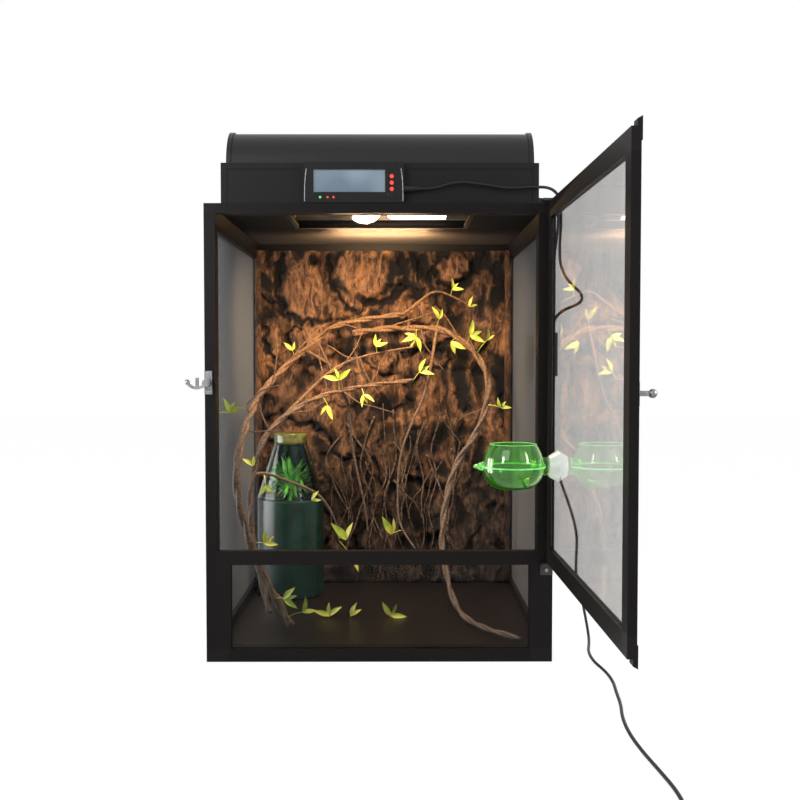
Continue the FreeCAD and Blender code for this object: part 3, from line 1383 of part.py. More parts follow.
def main():
    os.makedirs("parts", exist_ok=True)
    make_posts()
    make_bottom_corners()
    make_top_corners()
    make_rails()
    board = make_base_and_window()
    make_door()
    make_door_fittings()
    make_screws(make_hinges() + make_latch())
    make_bowl()
    make_hood()
    make_controller()
    make_leads()
    make_bark()
    make_leaves(*make_vines(), board)
    make_tank()


main()
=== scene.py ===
# %% [markdown]
# # A chameleon cage, dressed for its portrait
# A black aluminium frame with screen walls, an open glass door, a lamp hood, and bark, vines and a drip
# tank inside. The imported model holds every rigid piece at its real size. This lesson gives those pieces
# their finishes, and makes what a solid can't show well: woven screen, rough bark, twisted vines, leaves
# and leads.

import math

import bpy
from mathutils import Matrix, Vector, noise


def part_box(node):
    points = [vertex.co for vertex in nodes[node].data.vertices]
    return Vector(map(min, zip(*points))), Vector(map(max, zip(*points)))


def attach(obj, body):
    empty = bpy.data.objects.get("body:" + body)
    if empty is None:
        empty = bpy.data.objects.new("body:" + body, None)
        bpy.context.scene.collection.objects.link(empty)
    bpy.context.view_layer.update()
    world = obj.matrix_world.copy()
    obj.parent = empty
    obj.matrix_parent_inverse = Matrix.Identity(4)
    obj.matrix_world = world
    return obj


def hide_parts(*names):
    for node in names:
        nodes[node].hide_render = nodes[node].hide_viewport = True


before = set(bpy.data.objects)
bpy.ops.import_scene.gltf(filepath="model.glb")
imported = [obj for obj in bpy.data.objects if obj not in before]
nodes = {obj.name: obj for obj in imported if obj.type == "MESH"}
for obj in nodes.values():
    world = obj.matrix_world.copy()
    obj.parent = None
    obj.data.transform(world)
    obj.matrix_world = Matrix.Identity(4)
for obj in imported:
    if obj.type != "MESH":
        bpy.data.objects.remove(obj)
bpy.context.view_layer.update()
MM = 0.001

# %% [markdown]
# ## Helpers for shader nodes
# Colours are written as the sRGB hex values that the eye would pick, and one function turns them into the
# linear light that Cycles wants. Another adds a shader node with its settings and links in a single line.
# The rest are steps that most finishes share.

# %% Colour and node helpers


def linear(code):
    """An sRGB hex colour as linear RGBA."""
    channels = [int(code[i:i + 2], 16) / 255 for i in (1, 3, 5)]
    light = [c / 12.92 if c <= 0.04045 else ((c + 0.055) / 1.055) ** 2.4 for c in channels]
    return (*light, 1.0)


def add(tree, kind, inputs=None, **settings):
    """Adds one node: settings are its options, inputs are values or the sockets that feed it."""
    node = tree.nodes.new(kind)
    for name, value in settings.items():
        setattr(node, name, value)
    for name, value in (inputs or {}).items():
        if isinstance(value, bpy.types.NodeSocket):
            tree.links.new(value, node.inputs[name])
        else:
            node.inputs[name].default_value = value
    return node


def cloud(tree, place, size, **values):
    """Noise in patches of about that many millimetres."""
    inputs = {"Vector": place, "Scale": 1 / (size * MM), **values}
    return add(tree, "ShaderNodeTexNoise", inputs).outputs["Fac"]


def ramp(tree, fac, low, high, start=0.3, end=0.7):
    """Blends two hex colours along a grey value."""
    made = add(tree, "ShaderNodeValToRGB", {"Fac": fac})
    for element, position, code in zip(made.color_ramp.elements, (start, end), (low, high)):
        element.position = position
        element.color = linear(code)
    return made.outputs["Color"]


def blend(tree, share, first, second):
    """Mixes two colours by a share."""
    inputs = {"Factor": share, "A": first, "B": second}
    return add(tree, "ShaderNodeMix", inputs, data_type="RGBA").outputs["Result"]


def relief(tree, shader, height, strength, depth):
    """Lets a grey value stand out by a depth in millimetres."""
    bump = add(tree, "ShaderNodeBump", {"Height": height, "Strength": strength, "Distance": depth * MM})
    tree.links.new(bump.outputs["Normal"], shader.inputs["Normal"])


# %% [markdown]
# ## Helpers for finishes
# Two recipes cover most of the cage. A speckled finish has a grain with its own relief, as paint, plating
# and moulded plastic do. A clouded one is smooth, and only its colour drifts, as in glass and lit plastic.
# Sizes are real millimetres, so a pattern keeps its scale on every piece.

# %% Recipes
GRAIN_RELIEF = 0.35


def material(name, values):
    """A new material, its tree and shader, and coordinates in metres for its patterns."""
    made = bpy.data.materials.new(name)
    made.use_nodes = True
    tree = made.node_tree
    shader = tree.nodes["Principled BSDF"]
    for socket, value in values.items():
        shader.inputs[socket].default_value = value
    return made, tree, shader, add(tree, "ShaderNodeTexCoord").outputs["Object"]


def speckled(name, low, high, grain, rough, depth=0.05, metallic=0.0, sheen=0.5, stretch=(1, 1, 1)):
    """Colour that drifts between two tones over a grain, with the grain's own fine relief."""
    values = {"Roughness": rough, "Metallic": metallic, "Specular IOR Level": sheen}
    made, tree, shader, place = material(name, values)
    mapped = add(tree, "ShaderNodeMapping", {"Vector": place, "Scale": stretch}).outputs["Vector"]
    specks = cloud(tree, mapped, grain, Detail=4.0)
    tree.links.new(ramp(tree, specks, low, high), shader.inputs["Base Color"])
    relief(tree, shader, specks, GRAIN_RELIEF, depth)
    return made


def clouded(name, tones, size, values, glow=None, detail=2.0, span=(0.3, 0.7)):
    """Smooth colour that drifts between two tones, and may glow unevenly in two others."""
    made, tree, shader, place = material(name, values)
    drift = cloud(tree, place, size, Detail=detail)
    tree.links.new(ramp(tree, drift, *tones, *span), shader.inputs["Base Color"])
    if glow:
        tree.links.new(ramp(tree, drift, *glow, *span), shader.inputs["Emission Color"])
    return made


def see_through(rough, ior):
    """Shader values of something clear."""
    return {"Roughness": rough, "IOR": ior, "Transmission Weight": 1.0}


def lit(rough, strength):
    """Shader values of something that glows."""
    return {"Roughness": rough, "Emission Strength": strength}


def dress(made, *names):
    """Gives CAD nodes a finish."""
    for name in names:
        nodes[name].data.materials.clear()
        nodes[name].data.materials.append(made)
    print(f"{made.name}: {', '.join(names)}")


def dress_part(name, made, edge, side):
    """Gives a second finish to what lies on one side of an edge along x."""
    mesh = nodes[name].data
    mesh.materials.append(made)
    for polygon in mesh.polygons:
        polygon.material_index = 1 if (polygon.center.x - edge) * side > 0 else 0


# %% [markdown]
# ## Helpers for meshes
# What is built here is a mesh from points and faces, or a curve. It rides on the CAD body that it belongs
# to, so that it moves with it, and it may take the place of CAD nodes, which then don't show.

# %% Mesh helpers
BLOCK_SIDES = ((0, 3, 2, 1), (4, 5, 6, 7), (0, 1, 5, 4), (1, 2, 6, 5), (2, 3, 7, 6), (3, 0, 4, 7))


def settle(thing, body, replaces):
    """Puts an object into the scene on a body, and hides the CAD nodes that it replaces."""
    bpy.context.scene.collection.objects.link(thing)
    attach(thing, body)
    if replaces:
        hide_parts(*replaces)
    return thing


def piece(name, shape, made, body="cage", replaces=(), smooth=True):
    """A mesh in one finish; its shape is a list of points and a list of faces."""
    points, faces = shape
    mesh = bpy.data.meshes.new(name)
    mesh.from_pydata([tuple(p) for p in points], [], faces)
    mesh.materials.append(made)
    mesh.polygons.foreach_set("use_smooth", [smooth] * len(mesh.polygons))
    print(f"{name}: {len(points)} points")
    return settle(bpy.data.objects.new(name, mesh), body, replaces)


def block(shape, low, high):
    """Adds a box between two corners to a shape."""
    points, faces = shape
    base = len(points)
    for z in (low[2], high[2]):
        for x, y in ((low[0], low[1]), (high[0], low[1]), (high[0], high[1]), (low[0], high[1])):
            points.append(Vector((x, y, z)))
    faces += [tuple(base + i for i in side) for side in BLOCK_SIDES]


# %% [markdown]
# ## Frame finishes
# The profiles are extruded aluminium with a matt black powder coat, the corner blocks moulded ABS, and the
# board dark foamed PVC. One flat black would hide their edges, so each drifts between two near-black tones
# over a fine grain that breaks up the highlight.

# %% Powder coat, moulded ABS and PVC board
dress(
    speckled("Black powder coat on aluminium", "#110f0f", "#1b1818", grain=0.8, rough=0.42, sheen=0.1),
    "front_posts", "back_posts", "front_bottom_rail", "back_bottom_rail", "side_bottom_rails",
    "front_mid_rail", "front_top_rail", "back_top_rail", "side_top_rails", "window_stiles", "door_stiles",
    "door_rails",
)
dress(
    speckled("Black moulded ABS", "#141212", "#1e1b1c", grain=1.2, rough=0.5, sheen=0.12),
    "bottom_corners", "top_corners", "door_corners", "door_tabs",
)
dress(speckled("Dark foamed PVC board", "#0f0c0b", "#1d1613", grain=22, rough=0.35, sheen=0.2), "base_board")

# %% [markdown]
# ## Plated steel fittings
# Latch, stud, screws and plug pins are zinc-plated steel, and the hinge brackets are passivated black.
# Plating is bright but never mirror-smooth, so the metal is middling rough and faintly cloudy.

# %% Zinc plate
dress(
    speckled("Zinc-plated steel", "#67686b", "#a0a1a3", grain=3, rough=0.28, metallic=1.0),
    "latch_plate", "latch_lever", "door_knob", "fixing_screws", "plug_pins",
)
dress(speckled("Black-passivated steel", "#1b1a1b", "#2b2a2b", grain=2, rough=0.38), "hinge_brackets")

# %% [markdown]
# ## Clear panes
# The door's pane is float glass. A transmission shader on the closed 3 mm pane gives true reflections,
# faint square on and strong at the flat angle from which the open door is seen. The lower window is a clear
# plastic sheet that hardly reflects.

# %% Float glass and acrylic sheet
SMEAR = 60
glass = clouded("Clear float glass", ("#ebeae8", "#f8f5f2"), SMEAR, see_through(0.01, 1.5), detail=3.0)
dress(glass, "door_glass")
sheet = clouded("Clear acrylic sheet", ("#e2e3e2", "#eff0ef"), SMEAR, see_through(0.01, 1.12), detail=3.0)
dress(sheet, "window_glass")

# %% [markdown]
# ## Woven screen
# The walls and the top are fibreglass insect screen. Modelling the threads is the only way to get its look:
# nearly clear square on, and soft grey along the wall, where the threads close up. Each thread is a slim
# closed bar, and the two sets lie a thread's width apart.

# %% Fibreglass screen
THREAD_PITCH = 2.0 * MM
THREAD_WIDTH = 0.27 * MM
SCREEN_SHEET = 1.0 * MM
X, Y, Z = range(3)


def yarn(shade, low, high):
    """Coated thread in a shade."""
    return speckled(f"{shade} PVC-coated fibreglass yarn", low, high, grain=1.5, rough=0.6, sheen=0.2)


def threads(shape, low, high, along, across, through, level):
    """Bars along one axis, side by side along a second, at one level of the third."""
    count = round((high[across] - low[across]) / THREAD_PITCH)
    half = THREAD_WIDTH / 2
    for i in range(count + 1):
        centre = low[across] + (high[across] - low[across]) * i / count
        a, b = [0.0] * 3, [0.0] * 3
        a[along], b[along] = low[along], high[along]
        a[across], b[across] = centre - half, centre + half
        a[through], b[through] = level - half, level + half
        block(shape, a, b)


def woven(name, patches, through, made, replaces):
    """A screen of one yarn: rectangles of threads that face along one axis."""
    shape = ([], [])
    for low, high in patches:
        middle = (low[through] + high[through]) / 2
        first, second = [axis for axis in (X, Y, Z) if axis != through]
        threads(shape, low, high, first, second, through, middle - THREAD_WIDTH / 2)
        threads(shape, low, high, second, first, through, middle + THREAD_WIDTH / 2)
    piece(name, shape, made, replaces=replaces, smooth=False)


grey_yarn = yarn("Grey", "#4e5052", "#65676a")
dark_yarn = yarn("Charcoal", "#1d1917", "#2b2522")
low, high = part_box("side_screens")
left_patch = (low, Vector((low.x + SCREEN_SHEET, high.y, high.z)))
right_patch = (Vector((high.x - SCREEN_SHEET, low.y, low.z)), high)
woven("left_woven_screen", [left_patch], X, grey_yarn, ("side_screens",))
woven("right_woven_screen", [right_patch], X, grey_yarn, ("side_screens",))
woven("back_woven_screen", [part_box("back_screen")], Y, dark_yarn, ("back_screen",))

# %% [markdown]
# ## Top screen and lamp seal
# The top screen is open under the hood, where the lamps shine through, so four rectangles of threads leave
# that opening free. A foam strip edges it and fills the gap up to the hood, so that no light leaks out
# behind.

# %% Top screen
OPENING_MARGIN = 6.0 * MM
OPENING_STRIP = 6.0 * MM
HOOD_GAP = 0.3 * MM
foam = speckled("Black foam strip", "#0d0b0b", "#171414", grain=2, rough=0.9, sheen=0.05)
hood_low, hood_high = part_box("hood_housing")
bulb_low, bulb_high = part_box("basking_bulb")
top_low, top_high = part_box("top_screen")


def span(x0, x1, y0, y1, z=top_high.z):
    """Corners of a flat box that starts at the underside of the top screen."""
    return Vector((x0, y0, top_low.z)), Vector((x1, y1, z))


side = -bulb_low.x
front, back = hood_low.y + OPENING_MARGIN, hood_high.y - OPENING_MARGIN
outer, fore, rear = side + OPENING_STRIP, front - OPENING_STRIP, back + OPENING_STRIP
crown = hood_low.z - HOOD_GAP
patches = [
    span(top_low.x, top_high.x, top_low.y, fore),
    span(top_low.x, top_high.x, rear, top_high.y),
    span(top_low.x, -outer, fore, rear),
    span(outer, top_high.x, fore, rear),
]
woven("top_woven_screen", patches, Z, dark_yarn, ("top_screen",))
shape = ([], [])
block(shape, *span(-outer, outer, fore, front))
block(shape, *span(-outer, outer, back, rear, crown))
block(shape, *span(-outer, -side, front, back, crown))
block(shape, *span(side, outer, front, back, crown))
piece("lamp_seal", shape, foam, smooth=False)

# %% [markdown]
# ## Lamp hood
# The hood is moulded black ABS, a box under a half-round cover, with a dull aluminium reflector, two glazed
# porcelain holders, a basking bulb and a compact UVB lamp inside. The frosted lamps glow unevenly and their
# feet stay dull, so that they don't look like blocks of light.

# %% Hood, reflector and lamps
GLOBE_LENGTH = 44 * MM
TUBE_END = 70 * MM
dress(
    speckled("Satin black moulded ABS", "#202021", "#2b2b2c", grain=1.5, rough=0.38, sheen=0.25),
    "hood_dome", "hood_end_caps",
)
dress(
    speckled("Matt black moulded ABS", "#111112", "#1a1a1b", grain=1.5, rough=0.5, sheen=0.16), "hood_housing"
)
dress(
    speckled(
        "Dull rolled aluminium", "#4a453e", "#6f675c", grain=4, rough=0.45, metallic=1.0, stretch=(0.1, 1, 1)
    ),
    "hood_reflector",
)
dress(speckled("Glazed brown porcelain", "#4b3a2c", "#6b5440", grain=9, rough=0.25), "lamp_holders")
WHITE = "#ffffff"


def frosted(name, tint, glow, strength):
    """Lamp glass with a frosting in patches of 14 mm."""
    return clouded(name, (tint, WHITE), 14, lit(0.3, strength), glow=(glow, WHITE))


dress(frosted("Frosted basking bulb", "#f7dcae", "#ffb45c", 4.0), "basking_bulb")
dress(frosted("Frosted UVB lamp", "#eef3fa", "#fff6ea", 4.5), "uvb_lamp")
lamp_foot = speckled("Grey lamp foot", "#3f3b37", "#5b5650", grain=6, rough=0.5)
dress_part("basking_bulb", lamp_foot, bulb_high.x - GLOBE_LENGTH, -1)
dress_part("uvb_lamp", lamp_foot, TUBE_END, 1)

# %% [markdown]
# ## Controller
# A small gloss ABS case on the hood's front holds a blue-grey liquid crystal display, three red buttons and
# three indicator lights. All of them are lit from behind, so each glows a little, and unevenly.

# %% Controller case, display, buttons and lights
GREEN_LIGHT = 4.0 * MM
dress(speckled("Gloss black ABS", "#121213", "#1b1b1d", grain=6, rough=0.25, sheen=0.25), "controller_case")
dress(speckled("Green solder resist", "#123f22", "#1f6a38", grain=3, rough=0.35), "controller_board")


def backlit(name, tones, size, values, **others):
    """Plastic that shows the same two tones in its colour and in its glow."""
    return clouded(name, tones, size, values, glow=tones, **others)


blue_greys = ("#75899a", "#95a8b8")
dress(
    backlit("Backlit liquid crystal display", blue_greys, 60, lit(0.12, 0.12), detail=1.0, span=(0.35, 0.65)),
    "controller_screen",
)
red_lens = backlit("Red lit plastic", ("#d8221c", "#ff8f80"), 1.2, lit(0.15, 0.9), span=(0.45, 0.9))
dress(red_lens, "upper_button", "middle_button", "lower_button", "indicator_lights")
green_lens = backlit("Green lit plastic", ("#53e34a", "#a8ff9c"), 1.2, lit(0.15, 0.9), span=(0.45, 0.9))
dress_part("indicator_lights", green_lens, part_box("indicator_lights")[0].x + GREEN_LIGHT, -1)

# %% [markdown]
# ## Bright lines on the controller
# A chromed line runs along each end of the case and bends inwards towards the top. It is too thin to be
# worth a solid, so it is a stack of short blocks, each shifted a little.

# %% Chromed trims
TRIM_WIDTH = 0.8 * MM
TRIM_PROUD = 0.5 * MM
TRIM_LEAN = 2.6 * MM
TRIM_INSET = 1.6 * MM
TRIM_TOP_GAP = 9.0 * MM
TRIM_STEPS = 14
bright_trim = speckled("Bright-chromed ABS", "#9a9b9d", "#d4d5d7", grain=4, rough=0.2, metallic=1.0)
case_low, case_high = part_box("controller_case")
shape = ([], [])
foot = case_low.z + TRIM_INSET
step = (case_high.z - TRIM_TOP_GAP - foot) / TRIM_STEPS
for x, inward in ((case_low.x + TRIM_INSET, 1), (case_high.x - TRIM_INSET, -1)):
    for i in range(TRIM_STEPS):
        centre = x + inward * TRIM_LEAN * ((i + 0.5) / TRIM_STEPS) ** 3
        corner = (centre - TRIM_WIDTH / 2, case_low.y - TRIM_PROUD, foot + step * i)
        block(shape, corner, (centre + TRIM_WIDTH / 2, case_low.y, foot + step * (i + 1)))
piece("case_trims", shape, bright_trim, smooth=False)

# %% [markdown]
# ## Leads
# Two leads run to a power adapter on the cage's right side, and a mains lead hangs from it to the floor.
# Each is a fixed length of soft PVC flex, drawn as a smooth curve through the points that the solid
# follows. A curve stays round where a chain of straight tubes would show its joints.

# %% PVC flex and where the leads end
LEAD_RADIUS = 2.0 * MM
LEAD_FLOOR = 2.1 * MM
GLAND = 20.0 * MM
CASE_GLAND_RISE = 19 * MM
HOOD_GLAND_BACK = 51 * MM
HOOD_GLAND_RISE = 22 * MM
FRONT_GLAND_DROP = 12 * MM
TOP_GLAND_BACK = 16 * MM
flex = speckled("Black PVC flex", "#141314", "#1f1d1e", grain=2, rough=0.42, sheen=0.3)
dress(flex, "lead_glands", "mains_plug")
dress(speckled("Textured black ABS", "#181718", "#262425", grain=0.9, rough=0.55), "power_adapter")
cage_low, cage_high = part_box("top_corners")
adapter_low, adapter_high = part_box("power_adapter")
adapter_x = (adapter_low.x + adapter_high.x) / 2
adapter_y = (adapter_low.y + adapter_high.y) / 2
case_exit = Vector((case_high.x + GLAND, (case_low.y + case_high.y) / 2, case_low.z + CASE_GLAND_RISE))
hood_exit = Vector((hood_high.x + GLAND, hood_low.y + HOOD_GLAND_BACK, hood_low.z + HOOD_GLAND_RISE))
front_in = Vector((adapter_x, adapter_low.y - GLAND, adapter_high.z - FRONT_GLAND_DROP))
top_in = Vector((adapter_x, adapter_y + TOP_GLAND_BACK, adapter_high.z + GLAND))
mains_exit = Vector((adapter_x, adapter_y, adapter_low.z - GLAND))


def by_hood(x, y, z):
    """A point in millimetres from the cage's right side, its front and its top."""
    return Vector((cage_high.x + x * MM, cage_low.y + y * MM, cage_high.z + z * MM))


def by_floor(x, y, share):
    """The same, at a share of the height at which the mains lead leaves the adapter."""
    return Vector((cage_high.x + x * MM, cage_low.y + y * MM, mains_exit.z * share))


def on_floor(x, y):
    """The same, for a lead that lies on the floor."""
    return Vector((cage_high.x + x * MM, cage_low.y + y * MM, LEAD_FLOOR))


def through(place, *spots):
    """Points at several spots, by one of the functions for places."""
    return [place(*spot) for spot in spots]


def flex_curve(name, points, replaces):
    """A round lead along one smooth open spline."""
    curve = bpy.data.curves.new(name, "CURVE")
    curve.dimensions = "3D"
    curve.bevel_depth = LEAD_RADIUS
    curve.bevel_resolution = 3
    curve.resolution_u = 6
    curve.use_fill_caps = True
    spline = curve.splines.new("NURBS")
    spline.points.add(len(points) - 1)
    for control, p in zip(spline.points, points):
        control.co = (*p, 1.0)
    spline.order_u = 3
    spline.use_endpoint_u = True
    curve.materials.append(flex)
    print(f"{name}: {len(points)} control points")
    return settle(bpy.data.objects.new(name, curve), "cage", replaces)


# %% [markdown]
# ## The two short leads
# The controller's lead runs along the hood, turns down beside the door and makes a slack loop before it
# enters the adapter's front. The hood's lead drops beside the post to the adapter's top. Both leave their
# glands straight.

# %% Controller's lead and hood's lead
controller_lead = flex_curve("controller_flex", [
    case_exit,
    case_exit + Vector((22, 0, 0)) * MM,
    *through(
        by_hood, (-123, 67.5, 39), (-85, 67, 35), (-51, 67, 29), (-17, 67, 32), (8, 70, 31), (22, 80, 15),
        (26, 93, -10), (25, 101, -40), (26, 105, -67), (33, 101, -87), (44, 90, -101), (52, 79, -111),
        (51, 69, -121), (40, 63, -128), (25, 62, -133), (14, 70, -144), (10, 84, -160),
    ),
    front_in + Vector((0, -24, -4)) * MM,
    front_in,
], ("controller_lead",))
hood_lead = flex_curve("hood_flex", [
    hood_exit,
    hood_exit + Vector((9, 0, 0)) * MM,
    *through(
        by_hood, (25, 124.5, 13), (27, 124, -6), (24, 125, -36), (21, 133, -66), (17, 152, -92),
    ),
    top_in + Vector((2, -12, 34)) * MM,
    top_in + Vector((0, 0, 16)) * MM,
    top_in,
], ("hood_lead",))

# %% [markdown]
# ## The coil
# What the picture doesn't show of the mains lead is wound up. The coil spirals in on the floor, climbs one
# layer in half a turn and spirals out on top of itself. A loop finds where the half turns meet, and more
# points along each keep the curve round.

# %% Points of the coil
COIL_OUTER = 29.0 * MM
COIL_STEP = 4.6 * MM
COIL_TURNS = 3
COIL_CLIMB_ROOM = 0.6 * MM
COIL_TAIL = 32.0 * MM
COIL_POINTS = 8
COIL_RIGHT = 270 * MM
coil_entry = Vector((COIL_RIGHT, -755 * MM, LEAD_FLOOR))
coil_centre = Vector((COIL_RIGHT - COIL_OUTER, -760 * MM, 0))


def coil_stations():
    """Where the half turns of the coil meet, alternately on its right and its left."""
    radii = [COIL_OUTER - i * COIL_STEP / 2 for i in range(2 * COIL_TURNS + 2)]
    upper = LEAD_FLOOR + COIL_STEP
    levels = [(r, LEAD_FLOOR) for r in radii[:-1]] + [(radii[-1], upper)]
    for turn in range(COIL_TURNS):
        r = radii[-1] + COIL_CLIMB_ROOM + (turn + 1) * COIL_STEP
        levels += [(r, upper), (r, upper)]
    return [coil_centre + Vector((r if i % 2 == 0 else -r, 0, z)) for i, (r, z) in enumerate(levels)]


def coil_points():
    """Points round each half turn, set out so that the curve inside them has the turn's size."""
    points = []
    stations = coil_stations()
    spread = 1 / math.cos(math.pi / COIL_POINTS / 2)
    for i, (a, b) in enumerate(zip(stations, stations[1:])):
        heading = Vector((0, -1 if i % 2 == 0 else 1, 0))
        half = (b - a) / 2
        for k in range(COIL_POINTS):
            angle = math.pi * (k + 0.5) / COIL_POINTS
            bow = heading * half.length * math.sin(angle) - half * math.cos(angle)
            flat = a + half + bow * spread
            points.append(Vector((flat.x, flat.y, a.z + (b.z - a.z) * (k + 0.5) / COIL_POINTS)))
    last = stations[-1]
    return points + [last + Vector((0, COIL_TAIL / 2, 0)), last + Vector((0, COIL_TAIL, 0))]


# %% [markdown]
# ## Mains lead and tie
# The mains lead hangs in a wave beside the door and lies across the floor to the coil, which a flat tie
# holds together. Nothing of the tie bends, so it is four thin blocks round one side of the coil.

# %% Mains lead
mains_lead = flex_curve("mains_flex", [
    mains_exit,
    mains_exit - Vector((0, 0, 22)) * MM,
    *through(
        by_floor, (13, 162, 0.846), (21, 137, 0.743), (31, 119, 0.634), (44, 108, 0.526), (54, 113, 0.423),
        (56, 131, 0.331), (58, 147, 0.240), (64, 147, 0.149), (68, 134, 0.069), (68, 110, 0.017),
    ),
    *through(
        on_floor, (63, 79), (54, 38), (53, -7), (60, -49), (61, -91), (56, -133), (52, -177), (44, -221),
        (41, -269), (43, -319), (48, -369), (52, -417), (49, -461),
    ),
    coil_entry + Vector((0, 32, 0)) * MM,
    coil_entry,
    *coil_points(),
], ("mains_lead", "mains_coil"))

# %% Tie
TIE_INNER = 10.0 * MM
TIE_OUTER = 31.4 * MM
TIE_HALF = 2.5 * MM
TIE_SKIN = 0.6 * MM
TIE_UNDER = 0.08 * MM
TIE_CROWN = 9.2 * MM
tie_rubber = speckled("Black twist tie", "#1b1a1a", "#2a2829", grain=1.5, rough=0.6)
shape = ([], [])
x0, x1 = coil_centre.x - TIE_HALF, coil_centre.x + TIE_HALF
y0, y1 = coil_centre.y + TIE_INNER, coil_centre.y + TIE_OUTER
top = TIE_CROWN + TIE_SKIN
block(shape, (x0, y0, 0), (x1, y1, TIE_UNDER))
block(shape, (x0, y0, TIE_CROWN), (x1, y1, top))
block(shape, (x0, y0 - TIE_SKIN, 0), (x1, y0, top))
block(shape, (x0, y1, 0), (x1, y1 + TIE_SKIN, top))
coil_tie = piece("coil_tie", shape, tie_rubber, smooth=False)

# %% [markdown]
# ## Helpers for stems
# Vines, twigs, roots and the bark's edges are woody strands: a ring of points carried along a route,
# swollen and pinched by noise. A route runs with soft corners through a few places.

# %% Routes and strands
ROUTE_STEP = 4 * MM
STRAND_PITCH = 90 * MM
KNOT_SWELL = 0.22
KNOT_SPACING = 16 * MM
RIDGE_SWELL = 0.14
RIDGE_SPACING = 22 * MM


def soft_route(points, step=ROUTE_STEP):
    """Evenly spread places along a route with rounded corners."""
    legs = [points[0]] + [(a + b) / 2 for a, b in zip(points[1:], points[2:-1])] + [points[-1]]
    places = []
    for start, corner, end in zip(legs, points[1:-1], legs[1:]):
        length = (corner - start).length + (end - corner).length
        count = max(2, round(length / step))
        for k in range(count):
            t = k / count
            places.append(start * (1 - t) ** 2 + corner * 2 * t * (1 - t) + end * t ** 2)
    places.append(points[-1])
    return places


def strand(shape, places, radius, end_share, offset=0.0, phase=0.0, seed=0.0, sides=9):
    """One woody strand, tapering along its route and winding round it at an offset."""
    points, faces = shape
    base, last = len(points), len(places) - 1
    travelled = 0.0
    across = (places[1] - places[0]).orthogonal()
    for i, p in enumerate(places):
        before, after = places[max(i - 1, 0)], places[min(i + 1, last)]
        travelled += (p - before).length
        along = (after - before).normalized()
        across = (across - along * across.dot(along)).normalized()
        other = along.cross(across)
        taper = 1 - (1 - end_share) * i / last
        turn = phase + 2 * math.pi * travelled / STRAND_PITCH
        centre = p + (across * math.cos(turn) + other * math.sin(turn)) * offset * taper
        knot = 1 + KNOT_SWELL * noise.noise(Vector((travelled / KNOT_SPACING, seed, 0)))
        for k in range(sides):
            x, y = math.cos(2 * math.pi * k / sides), math.sin(2 * math.pi * k / sides)
            ridge = 1 + RIDGE_SWELL * noise.noise(Vector((2 * x, 2 * y, travelled / RIDGE_SPACING + seed)))
            points.append(centre + (across * x + other * y) * radius * taper * knot * ridge)
    for i in range(last):
        for k in range(sides):
            m, n = base + i * sides + k, base + i * sides + (k + 1) % sides
            faces.append((m, n, n + sides, m + sides))
    faces.append(tuple(base + k for k in reversed(range(sides))))
    faces.append(tuple(base + last * sides + k for k in range(sides)))


# %% [markdown]
# ## Cork bark
# The back wall is a slab of cork bark, warm brown above. Painted shade darkens it towards the floor and makes
# it nearly black in its cracks, furrows and edges. Two grey values on the mesh carry that painted shade into
# the material, where upright fibres and broad patches vary it.

# %% Cork material
# Spans of the bark's own tones and of the painted shade towards the floor
UNSHADED_SPAN = (0.38, 0.66)
SHADED_SPAN = (0.4, 0.66)
cork, tree, shader, place = material("Rough cork bark", {"Roughness": 0.85, "Specular IOR Level": 0.25})
upright = add(tree, "ShaderNodeMapping", {"Vector": place, "Scale": (1, 1, 0.4)}).outputs["Vector"]
fibres = cloud(tree, upright, 11, Detail=9.0, Roughness=0.68, Distortion=1.2)
patches = cloud(tree, place, 40, Detail=5.0)
warm = ramp(tree, fibres, "#22120c", "#9c683c", *UNSHADED_SPAN)
grey = ramp(tree, fibres, "#261b16", "#92745a", *UNSHADED_SPAN)
# Painted shade: darker, greyer tones for the bark low in the cage
shaded_tones = ramp(tree, fibres, "#0f0b0a", "#574840", *SHADED_SPAN)
# Grey value of the painted shade towards the floor
low_shade = add(tree, "ShaderNodeAttribute", attribute_name="low_shade").outputs["Fac"]
# Grey value of the painted shade in cracks, furrows, the shaded top and the edges
crack_shade = add(tree, "ShaderNodeAttribute", attribute_name="crack_shade").outputs["Fac"]
outside = blend(tree, low_shade, blend(tree, patches, warm, grey), shaded_tones)
# Painted shade: a near-black colour where that grey value is high
tree.links.new(blend(tree, crack_shade, outside, linear("#0c0705")), shader.inputs["Base Color"])
relief(tree, shader, fibres, strength=0.8, depth=2.0)
print(cork.name)

# %% [markdown]
# ## Plates and cracks
# Cork breaks into ragged plates at different heights, with deep cracks between them. The large ones of the
# upper half are set out as the portrait shows them, and bent cells part the rest. Places across and up the
# bark are in millimetres here.

# %% Where plates and cracks lie
BARK_SEED = 7
noise.seed_set(BARK_SEED)
SET_OUT_ABOVE = 330.0
SET_OUT_FADE = 60.0
PLATE_LEVEL = 0.75
CELL_KEPT = 0.4
# Large cracks: half the width, then places across and up the bark
BIG_CRACKS = (
    (7, ((-168, 567), (-174, 528), (-179, 494), (-168, 464), (-124, 456), (-90, 461))),
    (6, ((-89, 570), (-90, 537), (-84, 511), (-70, 489), (-53, 478))),
    (9, ((-43, 498), (-19, 491), (8, 487), (20, 501), (37, 518), (32, 559))),
    (5, ((62, 559), (62, 528))),
    (5, ((83, 552), (83, 528))),
    (7, ((96, 525), (122, 522), (147, 522), (150, 560))),
    (9, ((89, 500), (92, 486))),
    (10, ((117, 469), (118, 452))),
    (8, ((36, 401), (60, 412), (90, 414), (122, 425))),
    (6, ((25, 389), (21, 366), (0, 362))),
    (7, ((-200, 418), (-187, 392))),
)
# Large plates: the middle, then half the width and half the height
BIG_PLATES = (
    (-133, 508, 36, 58), (-32, 538, 46, 46), (118, 548, 28, 26), (62, 472, 44, 20), (-120, 420, 44, 34),
)


def clamp(value):
    """The value, kept between 0 and 1."""
    return min(max(value, 0.0), 1.0)


def patch(x, z, wide, tall, layer):
    """A place in a noise with patches of that width and height; layers keep noises apart."""
    return Vector((x / wide, z / tall, layer))


